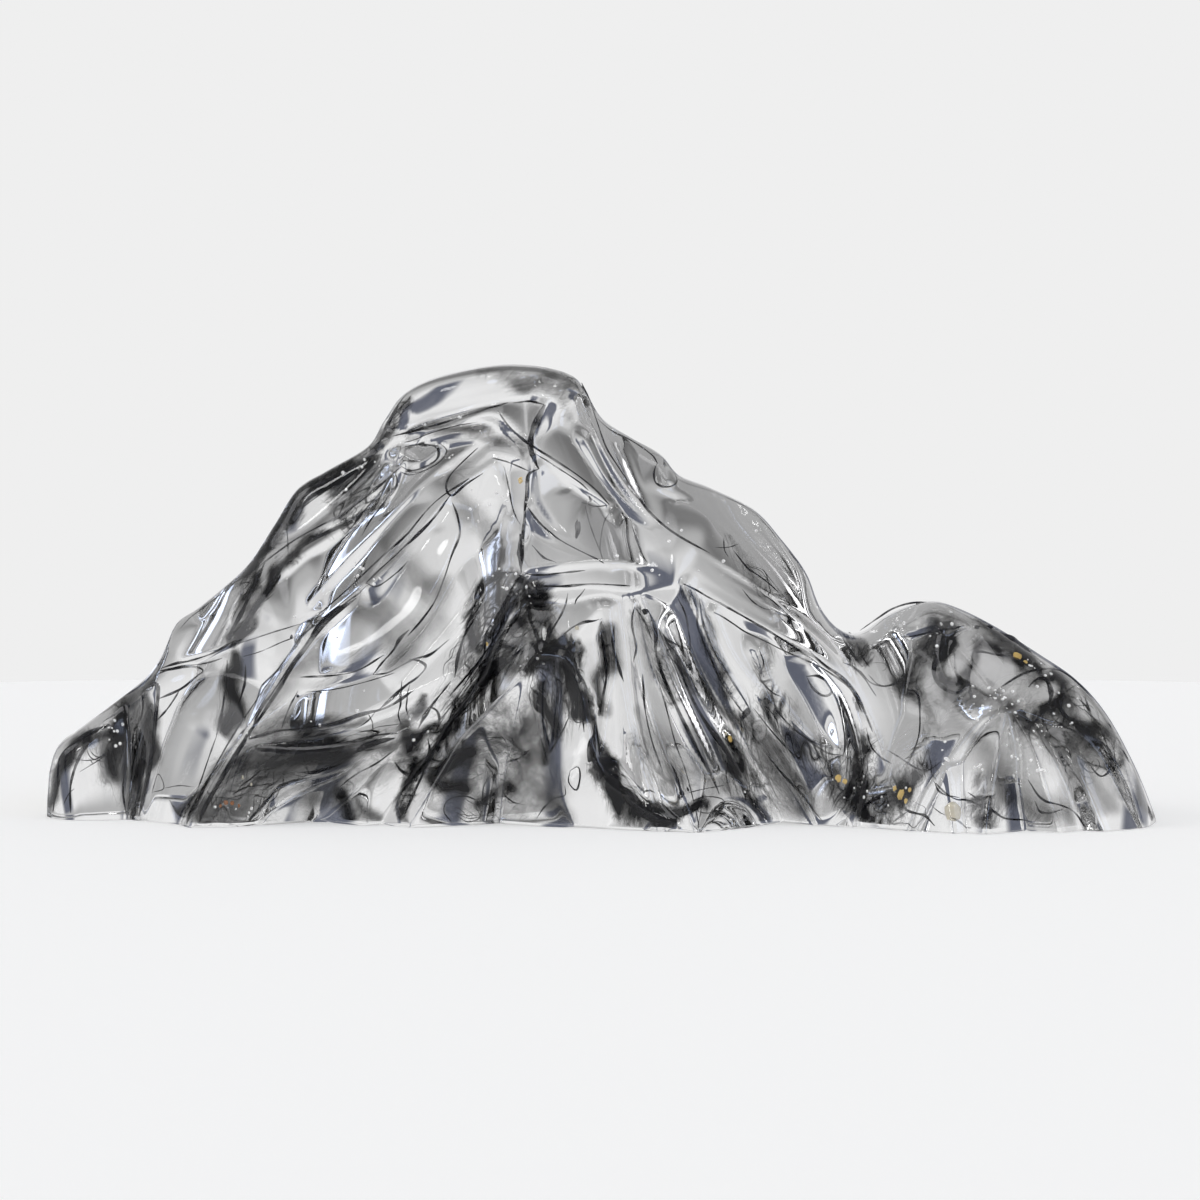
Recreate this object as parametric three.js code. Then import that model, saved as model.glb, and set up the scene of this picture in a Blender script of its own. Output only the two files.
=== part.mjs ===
// A range of mountains cast as one block of clear resin, about 600 mm long: a main peak with a
// rounded cap, a low block at its left end and a round hill at its right end. Its faces are
// folded like wet cloth: sharp crests run down from the skyline, with hollow flutes between.
//
// Frame: X runs along the range, to the right as it is looked at, Y runs from front to back and
// Z is up. The origin is on the underside, in the middle of its box. All lengths are millimetres.
import * as THREE from "three";
import { mergeVertices } from "three/addons/utils/BufferGeometryUtils.js";

// The skyline seen from the front, as [x, z], from the left end of the base to the right end.
const SKYLINE = [
  [-302, 0], [-301, 14], [-299, 28], [-294, 40], [-282, 49], [-262, 64], [-246, 77], [-238, 89],
  [-231, 105], [-217, 115], [-193, 136], [-178, 158], [-165, 178], [-149, 188], [-127, 201],
  [-118, 215], [-108, 229], [-92, 238], [-68, 244], [-48, 246], [-28, 244], [-14, 239], [-7, 230],
  [2, 216], [17, 206], [33, 197], [43, 186], [60, 179], [84, 167], [98, 152], [112, 133],
  [119, 115], [129, 103], [142, 100], [156, 109], [170, 115], [182, 117], [196, 113], [216, 103],
  [238, 89], [258, 75], [273, 57], [286, 32], [296, 10], [301, 0],
];

// How far the foot of each face stands from the plane of the skyline, as [x, distance].
const FRONT_FOOT = [
  [-302, 22], [-240, 30], [-217, 34], [-206, 52], [-185, 50], [-105, 51], [-70, 56], [-10, 62],
  [22, 78], [42, 84], [56, 50], [95, 50], [130, 64], [165, 78], [190, 92], [225, 88], [262, 80],
  [301, 58],
];
const BACK_FOOT = [
  [-302, 20], [-252, 34], [-215, 40], [-180, 60], [-90, 76], [-10, 86], [60, 80], [120, 62],
  [150, 60], [200, 74], [260, 60], [301, 24],
];
const SKYLINE_STAND = 7; // how far the faces stand out just under the rounded skyline
const HOLLOW_DEPTH = 12; // how far the floor between the folds lies behind the foot

// The folds of the two faces. Each point of a path is [x, z, how far the crest stands out]. The
// fall is how steeply the face drops from the crest on either side: to the left and right of a
// fold drawn downwards, or below and above one drawn to the right. round is the crest's radius.
const FRONT_FOLDS = [
  // the cap, and the brow that runs down from it to a sharp tip
  { path: [[-101, 218, 17], [-82, 227, 21], [-60, 233, 21], [-42, 237, 15]], fall: [1.3, 0.5],
    round: 7 },
  { path: [[-34, 232, 14], [-22, 230, 15], [-11, 230, 11]], fall: [1.3, 0.8], round: 3 },
  { path: [[-117, 203, 13], [-96, 208, 18], [-76, 213, 21], [-55, 217, 22], [-36, 200, 27],
    [-15, 184, 30], [5, 169, 33]], fall: [1.4, 1], round: 1.5 },
  { path: [[-92, 205, 19], [-78, 207, 23], [-64, 207, 24]], fall: [1.5, 1.2], round: 3 },
  // the upright fold in the middle, down to the knot that all folds meet in
  { path: [[-30, 223, 18], [-36, 207, 25], [-37, 195, 30], [-40, 172, 38], [-41, 152, 47],
    [-40, 132, 58]], fall: [0.9, 1], round: 1 },
  { path: [[-58, 197, 24], [-46, 194, 28], [-34, 188, 32]], fall: [1.1, 1.1], round: 2 },
  // the left shoulder
  { path: [[-104, 193, 19], [-122, 176, 19], [-140, 162, 18], [-160, 149, 16], [-180, 138, 14],
    [-197, 125, 10]], fall: [1.1, 1.2], round: 1.5 },
  { path: [[-128, 163, 21], [-146, 151, 23], [-160, 142, 25], [-173, 129, 28], [-185, 112, 31],
    [-197, 95, 33]], fall: [1.8, 1], round: 1.5 },
  { path: [[-110, 185, 22], [-113, 172, 25], [-120, 160, 27], [-132, 146, 29], [-146, 132, 32]],
    fall: [1.2, 1.2], round: 1 },
  { path: [[-107, 196, 20], [-97, 192, 23], [-88, 197, 22]], fall: [1.6, 1.6], round: 4 },
  // the long left folds, which open out towards the foot
  { path: [[-66, 202, 22], [-82, 191, 25], [-98, 178, 28], [-116, 159, 32], [-134, 140, 37],
    [-153, 117, 43]], fall: [1.6, 0.8], round: 1.5 },
  { path: [[-60, 196, 24], [-80, 178, 31], [-100, 157, 38], [-121, 131, 44], [-139, 114, 49],
    [-157, 97, 53]], fall: [1.1, 1.3], round: 1.5 },
  { path: [[-154, 102, 51], [-169, 78, 57], [-182, 55, 61], [-197, 33, 65], [-209, 12, 68],
    [-216, -6, 69]], fall: [2.6, 0.5], round: 1.5 },
  { path: [[-57, 191, 27], [-74, 180, 32], [-90, 163, 38], [-106, 142, 43], [-123, 125, 48]],
    fall: [1.4, 0.25], round: 1 },
  { path: [[-56, 190, 27], [-50, 174, 33], [-47, 163, 39], [-42, 154, 45]], fall: [0.2, 1.4],
    round: 1 },
  { path: [[-79, 169, 35], [-76, 155, 41], [-81, 139, 45], [-90, 121, 50], [-100, 104, 53],
    [-120, 88, 55], [-146, 79, 55], [-162, 76, 56]], fall: [0.2, 1], round: 1.5 },
  // the low block at the left end, and the shelf above its plates
  { path: [[-278, 34, 29], [-274, 18, 30], [-272, -6, 30]], fall: [0.1, 0.5], round: 8 },
  { path: [[-237, 72, 29], [-238, 50, 31], [-241, 25, 32], [-246, -6, 32]], fall: [1, 0.1],
    round: 1.5 },
  { path: [[-236, 82, 19], [-212, 90, 29], [-184, 99, 38], [-160, 108, 44], [-146, 114, 47]],
    fall: [1.5, 0.8], round: 1 },
  { path: [[-198, 86, 33], [-176, 94, 40], [-162, 99, 46]], fall: [1.4, 0.8], round: 1 },
  { path: [[-163, 99, 47], [-174, 86, 45], [-187, 71, 40], [-198, 58, 35], [-207, 30, 37],
    [-214, 2, 39]], fall: [0.4, 1.4], round: 1.5 },
  { path: [[-196, 84, 30], [-200, 60, 32], [-207, 30, 34]], fall: [0.3, 1], round: 2 },
  // the folds that meet low on the left
  { path: [[-72, 83, 61], [-94, 72, 61], [-116, 63, 61], [-142, 53, 63], [-166, 49, 64],
    [-183, 46, 64]], fall: [0.7, 1.3], round: 1.5 },
  { path: [[-96, 53, 65], [-124, 43, 65], [-152, 39, 66], [-180, 40, 65]], fall: [1.3, 1],
    round: 1.5 },
  { path: [[-98, 48, 64], [-118, 37, 62], [-135, 26, 60], [-156, 17, 57], [-172, 7, 55],
    [-184, -6, 54]], fall: [0.9, 1.3], round: 1.5 },
  { path: [[-100, 46, 63], [-112, 30, 61], [-120, 14, 58], [-126, -6, 57]], fall: [1, 1],
    round: 2 },
  { path: [[-186, 38, 64], [-192, 22, 65], [-198, -6, 66]], fall: [0.5, 1], round: 3 },
  { path: [[-42, 130, 58], [-55, 107, 60], [-73, 80, 62], [-95, 54, 65]], fall: [0.9, 1.2],
    round: 1.5 },
  { path: [[-68, 118, 53], [-86, 96, 56], [-104, 74, 60]], fall: [0.8, 1], round: 2 },
  // the pyramid in the middle of the foot
  { path: [[-33, 91, 70], [-46, 74, 68], [-58, 60, 67], [-71, 46, 66], [-81, 30, 66], [-91, 13, 67],
    [-102, -6, 68]], fall: [1.3, 0.25], round: 1 },
  { path: [[-31, 91, 70], [-18, 88, 69], [-10, 74, 68], [-7, 58, 70], [-4, 42, 74], [3, 27, 79],
    [16, 17, 83], [30, 8, 87], [52, 1, 92]], fall: [0.3, 1.4], round: 1 },
  { path: [[-31, 88, 69], [-32, 58, 68], [-26, 32, 67], [-18, -6, 66]], fall: [0.45, 0.45],
    round: 2 },
  // the shelf from the knot to the right, and the fan of flutes that hangs from it
  { path: [[-38, 134, 58], [-15, 137, 56], [8, 138, 54], [30, 134, 53], [50, 126, 54],
    [72, 113, 57], [94, 101, 59], [114, 89, 61], [130, 74, 63], [142, 54, 65], [150, 30, 68],
    [156, -6, 71]], fall: [1.1, 0.8], round: 1 },
  { path: [[-38, 166, 41], [-28, 153, 46], [-12, 143, 51], [6, 136, 54]], fall: [0.9, 0.9],
    round: 1.5 },
  { path: [[-34, 185, 33], [-32, 171, 38], [-22, 157, 43], [-8, 146, 48], [4, 140, 51]],
    fall: [1, 0.7], round: 1.5 },
  { path: [[-34, 124, 58], [-6, 126, 58], [18, 124, 57], [38, 126, 57]], fall: [1.5, 0.4],
    round: 1.5 },
  { path: [[-2, 112, 58], [-13, 99, 61], [-13, 80, 65], [-8, 62, 69]], fall: [0.8, 1.2],
    round: 1.5 },
  { path: [[1, 114, 58], [6, 98, 61], [7, 80, 64], [4, 62, 68], [1, 40, 73]], fall: [1.2, 0.8],
    round: 1.5 },
  { path: [[5, 114, 58], [9, 92, 61], [12, 70, 65], [17, 44, 71], [24, 20, 81], [33, -6, 90]],
    fall: [0.9, 1.2], round: 1.5 },
  { path: [[18, 117, 57], [20, 88, 62], [26, 62, 70], [34, 38, 78], [43, 16, 88], [51, -6, 95]],
    fall: [0.8, 2.2], round: 1.5 },
  { path: [[22, 119, 57], [30, 97, 59], [38, 75, 61], [48, 52, 62], [57, 30, 59], [68, -6, 53]],
    fall: [1.1, 1.1], round: 1.5 },
  { path: [[34, 104, 57], [43, 83, 58], [54, 60, 59], [66, 40, 57], [80, 14, 53]], fall: [1, 1.3],
    round: 2 },
  { path: [[44, 126, 58], [53, 107, 60], [64, 83, 63], [76, 62, 63], [88, 42, 61], [104, 16, 57],
    [116, -6, 55]], fall: [1.5, 0.9], round: 1 },
  { path: [[60, 112, 58], [70, 89, 61], [84, 71, 63], [102, 50, 63], [119, 30, 63],
    [134, -6, 65]], fall: [0.9, 1.1], round: 1.5 },
  { path: [[84, 92, 60], [92, 70, 63], [110, 47, 65], [127, 38, 67]], fall: [0.8, 1.1], round: 2 },
  { path: [[110, 84, 62], [122, 66, 66], [127, 40, 68], [126, 10, 67]], fall: [1, 0.9],
    round: 2 },
  // the long right folds, from the cap to the valley, and the slab behind them
  { path: [[-11, 232, 12], [-4, 212, 18], [4, 194, 24], [16, 175, 31], [32, 158, 38], [52, 145, 43],
    [72, 133, 48], [94, 119, 52], [113, 105, 56], [127, 89, 59], [138, 66, 62], [147, 36, 66],
    [153, -6, 70]], fall: [1, 1.2], round: 1 },
  { path: [[-8, 204, 21], [4, 182, 28], [18, 165, 35], [38, 149, 41], [60, 134, 47], [84, 119, 52],
    [104, 105, 55]], fall: [1.2, 1], round: 1 },
  { path: [[6, 162, 37], [14, 149, 43], [28, 142, 47], [46, 135, 50], [68, 122, 53], [90, 109, 56]],
    fall: [0.9, 0.8], round: 1.5 },
  { path: [[26, 178, 22], [46, 172, 22], [66, 151, 28], [90, 137, 33], [112, 121, 38]],
    fall: [0.25, 0.7], round: 3 },
  { path: [[33, 190, 16], [36, 182, 22]], fall: [1.4, 1.4], round: 4 },
  // the hill, its brow, and the folds that spread from the star on its face
  { path: [[141, 92, 16], [160, 98, 22], [182, 103, 24], [206, 103, 20]], fall: [1.3, 0.6],
    round: 1.5 },
  { path: [[208, 69, 58], [218, 76, 51], [230, 81, 42], [246, 79, 36], [262, 64, 44],
    [276, 38, 55], [290, 4, 62]], fall: [1.5, 0.8], round: 1 },
  { path: [[150, 92, 22], [158, 74, 38], [160, 56, 52], [164, 34, 66]], fall: [0.8, 0.8],
    round: 4 },
  { path: [[184, 100, 26], [181, 84, 38], [186, 70, 48], [200, 62, 58]], fall: [0.9, 0.9],
    round: 4 },
  { path: [[214, 98, 20], [206, 84, 36], [207, 72, 48]], fall: [0.8, 0.9], round: 4 },
  { path: [[212, 62, 62], [198, 55, 68], [184, 41, 80], [170, 24, 88], [157, -6, 84]],
    fall: [1.1, 0.7], round: 1.5 },
  { path: [[178, 50, 66], [179, 30, 86], [182, -6, 101]], fall: [0.9, 0.8], round: 2 },
  { path: [[213, 60, 64], [206, 40, 83], [200, 20, 96], [196, -6, 103]], fall: [0.9, 0.8],
    round: 1.5 },
  { path: [[216, 60, 64], [225, 40, 80], [230, 20, 91], [238, -6, 95]], fall: [0.8, 1.3],
    round: 1 },
  { path: [[219, 61, 63], [244, 52, 64], [260, 43, 66], [274, 24, 73], [286, -6, 76]],
    fall: [1, 0.8], round: 1.5 },
  { path: [[232, 50, 66], [246, 34, 78], [262, -6, 88]], fall: [0.6, 0.9], round: 3 },
];
// The back is plainer: broad round ridges that run down from the peak, the shoulder and the hill.
const BACK_FOLDS = [
  { path: [[-100, 214, 16], [-64, 226, 24], [-30, 224, 20]], fall: [0.9, 0.5], round: 14 },
  { path: [[-46, 222, 22], [-64, 176, 40], [-92, 110, 58], [-124, -6, 80]], fall: [0.45, 0.4],
    round: 16 },
  { path: [[-34, 222, 20], [-20, 160, 46], [-8, 80, 70], [0, -6, 88]], fall: [0.45, 0.45],
    round: 14 },
  { path: [[-14, 214, 16], [28, 150, 44], [64, 84, 64], [92, -6, 80]], fall: [0.45, 0.5],
    round: 14 },
  { path: [[44, 172, 16], [84, 124, 36], [118, 70, 52], [138, -6, 62]], fall: [0.5, 0.6],
    round: 12 },
  { path: [[-124, 186, 22], [-160, 132, 28], [-186, 96, 32]], fall: [0.4, 0.3], round: 12 },
  { path: [[-120, 170, 24], [-160, 104, 42], [-190, 40, 54], [-208, -6, 58]], fall: [0.5, 0.5],
    round: 14 },
  { path: [[-222, 78, 30], [-226, 40, 32], [-228, -6, 32]], fall: [0.12, 0.3], round: 12 },
  { path: [[-270, 40, 24], [-272, 20, 24], [-273, -6, 24]], fall: [0.08, 0.4], round: 10 },
  { path: [[150, 96, 12], [182, 100, 18], [214, 90, 16]], fall: [0.8, 0.5], round: 10 },
  { path: [[182, 96, 18], [178, 60, 46], [170, -6, 66]], fall: [0.5, 0.45], round: 14 },
  { path: [[206, 90, 18], [224, 50, 50], [240, -6, 68]], fall: [0.45, 0.5], round: 14 },
];

// How a fold drops away: steep by the crest, flatter beyond the reach, which hollows it, and
// then ever steeper, so that it ends in the folds beside it.
const FALL_REACH = 10;
const FAR_FALL = 0.6; // the share of the fall that is left beyond the reach
const FALL_LENGTH = 90;
const BLEND = 0.8; // how softly two folds meet in the hollow between them
const RIM = 7; // the width over which the faces turn round to meet at the skyline
const FOOT_RIM = 18; // how much wider that is at the foot of the two ends

// The spacing of the vertices along the outline and the crests, and over the two faces.
const OUTLINE_STEP = 5;
const FRONT_CREST_STEP = 4.5;
const FRONT_STEP = 6;
const BACK_CREST_STEP = 8;
const BACK_STEP = 12;
const RIM_RINGS = [1, 4]; // how far inside the outline the rings of vertices of the rim lie
const CREST_CLEARANCE = 0.55; // of a step, the least distance between vertices of two crests
const FILL_CLEARANCE = 0.78; // of a step, the least distance from a face's vertices to the rest

const RESIN_COLOUR = 0xe9edee;
const RESIN_ROUGHNESS = 0.04;

// The value of a curve given by [x, value] points, at x.
function valueAt(table, x) {
  let i = 1;
  while (i < table.length - 1 && table[i][0] < x) i += 1;
  const [x0, v0] = table[i - 1];
  const [x1, v1] = table[i];
  const t = THREE.MathUtils.clamp((x - x0) / (x1 - x0), 0, 1);
  return v0 + (v1 - v0) * t * t * (3 - 2 * t);
}

// Points a step apart on a smooth curve through [x, z, out] points.
function along(path, step) {
  const points = path.map(([x, z, out = 0]) => new THREE.Vector3(x, z, out));
  const curve = new THREE.CatmullRomCurve3(points, false, "catmullrom", 0.5);
  return curve.getSpacedPoints(Math.max(2, Math.round(curve.getLength() / step)));
}

// The point of a line of points that is nearest to x, z: its distance, how far the line stands
// out there, and on which side of it x, z lies, from -1 to 1.
function nearestOn(line, x, z) {
  const best = { squared: Infinity, out: 0, side: 0 };
  for (let i = 1; i < line.length; i += 1) {
    const a = line[i - 1];
    const b = line[i];
    const runX = b.x - a.x;
    const runZ = b.y - a.y;
    const length2 = runX * runX + runZ * runZ;
    const t = THREE.MathUtils.clamp(((x - a.x) * runX + (z - a.y) * runZ) / length2, 0, 1);
    const offX = x - a.x - runX * t;
    const offZ = z - a.y - runZ * t;
    const squared = offX * offX + offZ * offZ;
    if (squared >= best.squared) continue;
    best.squared = squared;
    best.out = a.z + (b.z - a.z) * t;
    best.side = (runX * offZ - runZ * offX) / Math.sqrt(length2 * Math.max(squared, 1e-9));
  }
  return best;
}

const skyline = along(SKYLINE, OUTLINE_STEP);
skyline[0].set(SKYLINE[0][0], 0, 0);
skyline.at(-1).set(SKYLINE.at(-1)[0], 0, 0);

function skylineHeight(x) {
  const i = Math.max(1, skyline.findIndex((point) => point.x >= x));
  const a = skyline[i - 1];
  const b = skyline[i];
  return a.y + (b.y - a.y) * THREE.MathUtils.clamp((x - a.x) / (b.x - a.x), 0, 1);
}

// How far a face stands out from the plane of the skyline at x, z.
function standOut(face, x, z) {
  const low = THREE.MathUtils.clamp(1 - z / skylineHeight(x), 0, 1);
  const foot = valueAt(face.foot, x) - HOLLOW_DEPTH;
  let sum = Math.exp((SKYLINE_STAND + (foot - SKYLINE_STAND) * low) / BLEND);
  for (const { line, fall, round } of face.folds) {
    const near = nearestOn(line, x, z);
    const away = Math.sqrt(near.squared + round * round) - round;
    const slope = (fall[0] + fall[1] + near.side * (fall[1] - fall[0])) / 2;
    const hollow = (1 - FAR_FALL) * FALL_REACH * (1 - Math.exp(-away / FALL_REACH));
    const drop = slope * (FAR_FALL * away + hollow) + (away * away) / FALL_LENGTH;
    sum += Math.exp((near.out - drop) / BLEND);
  }
  const inside = Math.sqrt(nearestOn(skyline, x, z).squared);
  const rim = 1 - Math.min(inside / (RIM + FOOT_RIM * low), 1);
  return BLEND * Math.log(sum) * Math.sqrt(1 - rim * rim);
}

function makeFace(folds, foot, crestStep, step) {
  const drawn = folds.map((fold) => ({ ...fold, line: along(fold.path, crestStep) }));
  return { folds: drawn, foot, step, crestStep };
}

// Whether x, z lies inside a closed outline.
function isInside(outline, x, z) {
  let inside = false;
  outline.forEach((a, i) => {
    const b = outline[(i + 1) % outline.length];
    if (a.y > z !== b.y > z && x < a.x + ((b.x - a.x) * (z - a.y)) / (b.y - a.y)) inside = !inside;
  });
  return inside;
}

// The vertices of a face: the outline first, then the rim, the crests, and the ground between.
function scatter(face, outline) {
  const points = [...outline];
  const add = (x, z, clearance, margin) => {
    if (z < clearance || !isInside(outline, x, z)) return;
    if (nearestOn(skyline, x, z).squared < margin * margin) return;
    if (points.some((p) => Math.hypot(p.x - x, p.y - z) < clearance)) return;
    points.push(new THREE.Vector3(x, z, 0));
  };
  for (const ring of RIM_RINGS) {
    for (let i = 1; i < skyline.length - 1; i += 1) {
      const run = skyline[i + 1].clone().sub(skyline[i - 1]).setZ(0).normalize();
      add(skyline[i].x + run.y * ring, skyline[i].y - run.x * ring, ring * 0.7, ring * 0.9);
    }
  }
  for (const { line } of face.folds) {
    for (const point of line) add(point.x, point.y, face.crestStep * CREST_CLEARANCE, RIM);
  }
  const rowHeight = (face.step * Math.sqrt(3)) / 2;
  for (let row = 1; row * rowHeight < 250; row += 1) {
    const shift = row % 2 ? face.step / 2 : 0;
    for (let x = SKYLINE[0][0] + shift; x < SKYLINE.at(-1)[0]; x += face.step) {
      const wobble = 0.02 * Math.sin(x * 12.9 + row * 78.2);
      add(x + wobble, row * rowHeight + wobble, face.step * FILL_CLEARANCE, RIM * 0.8);
    }
  }
  return points;
}

// Delaunay's triangles over points in the plane, by adding the points one by one from the left.
// Each open triangle carries its circle, and is done once the points have passed that circle.
function triangulate(points) {
  const count = points.length;
  const far = 5000;
  const all = [...points, { x: -far, y: -far }, { x: far, y: -far }, { x: 0, y: 2 * far }];
  const circle = (i, j, k) => {
    const [a, b, c] = [all[i], all[j], all[k]];
    const twiceArea = 2 * ((b.x - a.x) * (c.y - a.y) - (b.y - a.y) * (c.x - a.x));
    const b2 = (b.x - a.x) ** 2 + (b.y - a.y) ** 2;
    const c2 = (c.x - a.x) ** 2 + (c.y - a.y) ** 2;
    const x = ((c.y - a.y) * b2 - (b.y - a.y) * c2) / twiceArea;
    const y = ((b.x - a.x) * c2 - (c.x - a.x) * b2) / twiceArea;
    return { corners: [i, j, k], x: a.x + x, y: a.y + y, squared: x * x + y * y };
  };
  const order = points.map((point, i) => i).sort((i, j) => all[i].x - all[j].x);
  const done = [];
  let open = [circle(count, count + 1, count + 2)];
  for (const i of order) {
    const { x, y } = all[i];
    const edges = new Map();
    const stillOpen = [];
    for (const triangle of open) {
      const ahead = x - triangle.x;
      if (ahead > 0 && ahead * ahead > triangle.squared) {
        done.push(triangle);
      } else if (ahead * ahead + (y - triangle.y) ** 2 >= triangle.squared) {
        stillOpen.push(triangle);
      } else {
        triangle.corners.forEach((from, side) => {
          const to = triangle.corners[(side + 1) % 3];
          if (!edges.delete(`${to} ${from}`)) edges.set(`${from} ${to}`, [from, to]);
        });
      }
    }
    for (const [from, to] of edges.values()) stillOpen.push(circle(from, to, i));
    open = stillOpen;
  }
  const made = [...done, ...open].map(({ corners }) => corners);
  return made.filter((corners) => Math.max(...corners) < count);
}

// One face as triangles in space. Its outline comes first, the same for both faces.
function faceTriangles(face, outline, towards) {
  const points = scatter(face, outline);
  const space = points.map(({ x, y: z }, i) => {
    const onSkyline = i < skyline.length;
    return new THREE.Vector3(x, onSkyline ? 0 : towards * standOut(face, x, z), z);
  });
  const kept = triangulate(points).filter((corners) => {
    const x = (points[corners[0]].x + points[corners[1]].x + points[corners[2]].x) / 3;
    const z = (points[corners[0]].y + points[corners[1]].y + points[corners[2]].y) / 3;
    return isInside(outline, x, z);
  });
  const turned = towards < 0 ? kept : kept.map(([a, b, c]) => [a, c, b]);
  return { space, triangles: turned.map((corners) => corners.map((corner) => space[corner])) };
}

// The underside: a flat strip between the feet of the two faces, from the right to the left.
function undersideTriangles(front, back, outline) {
  const feet = outline.map((point, i) => i).slice(skyline.length - 1);
  feet.push(0);
  const triangles = [];
  for (let i = 1; i < feet.length; i += 1) {
    const [from, to] = [feet[i - 1], feet[i]];
    triangles.push([front[from], front[to], back[to]]);
    triangles.push([front[from], back[to], back[from]]);
  }
  return triangles.filter(([a, b, c]) => !a.equals(b) && !b.equals(c) && !c.equals(a));
}

function resinMountain() {
  const front = makeFace(FRONT_FOLDS, FRONT_FOOT, FRONT_CREST_STEP, FRONT_STEP);
  const back = makeFace(BACK_FOLDS, BACK_FOOT, BACK_CREST_STEP, BACK_STEP);
  const start = skyline.at(-1).clone();
  const foot = start.clone().setX(skyline[0].x);
  const count = Math.round(start.distanceTo(foot) / OUTLINE_STEP);
  const outline = [...skyline];
  for (let i = 1; i < count; i += 1) outline.push(start.clone().lerp(foot, i / count));
  const frontFace = faceTriangles(front, outline, -1);
  const backFace = faceTriangles(back, outline, 1);
  const bottom = undersideTriangles(frontFace.space, backFace.space, outline);
  const triangles = [...frontFace.triangles, ...backFace.triangles, ...bottom];
  const geometry = new THREE.BufferGeometry().setFromPoints(triangles.flat());
  const centre = new THREE.Box3().setFromPoints(triangles.flat()).getCenter(new THREE.Vector3());
  geometry.translate(-centre.x, -centre.y, 0);
  return mergeVertices(geometry, 1e-3);
}

const mountain = new THREE.Mesh(
  resinMountain(),
  new THREE.MeshStandardMaterial({ color: RESIN_COLOUR, roughness: RESIN_ROUGHNESS, metalness: 0 }),
);
mountain.name = "resin_mountain";

const group = new THREE.Group();
group.add(mountain);
export default group;
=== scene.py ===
import math

import bpy
import numpy as np
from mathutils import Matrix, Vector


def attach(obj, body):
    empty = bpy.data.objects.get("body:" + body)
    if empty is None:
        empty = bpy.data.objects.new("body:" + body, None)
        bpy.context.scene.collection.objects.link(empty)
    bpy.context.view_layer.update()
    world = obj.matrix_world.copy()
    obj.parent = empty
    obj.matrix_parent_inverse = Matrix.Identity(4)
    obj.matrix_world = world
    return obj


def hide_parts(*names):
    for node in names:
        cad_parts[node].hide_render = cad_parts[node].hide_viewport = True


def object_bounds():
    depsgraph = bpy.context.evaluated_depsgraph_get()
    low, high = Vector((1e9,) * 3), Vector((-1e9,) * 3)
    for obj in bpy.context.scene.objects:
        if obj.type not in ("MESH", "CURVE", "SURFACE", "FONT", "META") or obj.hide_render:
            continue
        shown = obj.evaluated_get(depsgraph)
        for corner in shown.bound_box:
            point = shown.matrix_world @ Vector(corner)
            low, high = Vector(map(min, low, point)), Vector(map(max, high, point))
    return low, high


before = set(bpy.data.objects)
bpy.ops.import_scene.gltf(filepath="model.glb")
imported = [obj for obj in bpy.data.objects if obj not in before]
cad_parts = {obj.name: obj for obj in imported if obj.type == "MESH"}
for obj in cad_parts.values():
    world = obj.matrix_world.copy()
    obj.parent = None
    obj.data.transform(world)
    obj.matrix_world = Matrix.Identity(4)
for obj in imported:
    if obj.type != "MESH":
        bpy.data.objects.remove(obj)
CAD_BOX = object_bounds()
MM = 0.001
TINY = 1e-9  # keeps a division from meeting zero
SEEDS = {"lines": 11, "strands": 23, "clots": 3, "bubbles": 31, "flecks": 37}

# The form of the casting, in millimetres, as in the part's own source: x along the range, z up
# and "out" from the plane of the skyline. The skyline runs from the left end to the right end.
SKYLINE = [
    (-302, 0), (-301, 14), (-299, 28), (-294, 40), (-282, 49), (-262, 64), (-246, 77), (-238, 89),
    (-231, 105), (-217, 115), (-193, 136), (-178, 158), (-165, 178), (-149, 188), (-127, 201),
    (-118, 215), (-108, 229), (-92, 238), (-68, 244), (-48, 246), (-28, 244), (-14, 239),
    (-7, 230), (2, 216), (17, 206), (33, 197), (43, 186), (60, 179), (84, 167), (98, 152),
    (112, 133), (119, 115), (129, 103), (142, 100), (156, 109), (170, 115), (182, 117),
    (196, 113), (216, 103), (238, 89), (258, 75), (273, 57), (286, 32), (296, 10), (301, 0),
]

# How far the foot of each face stands out from the plane of the skyline: (x, out).
FRONT_FOOT = [
    (-302, 22), (-240, 30), (-217, 34), (-206, 52), (-185, 50), (-105, 51), (-70, 56), (-10, 62),
    (22, 78), (42, 84), (56, 50), (95, 50), (130, 64), (165, 78), (190, 92), (225, 88), (262, 80),
    (301, 58),
]

BACK_FOOT = [
    (-302, 20), (-252, 34), (-215, 40), (-180, 60), (-90, 76), (-10, 86), (60, 80), (120, 62),
    (150, 60), (200, 74), (260, 60), (301, 24),
]

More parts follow.
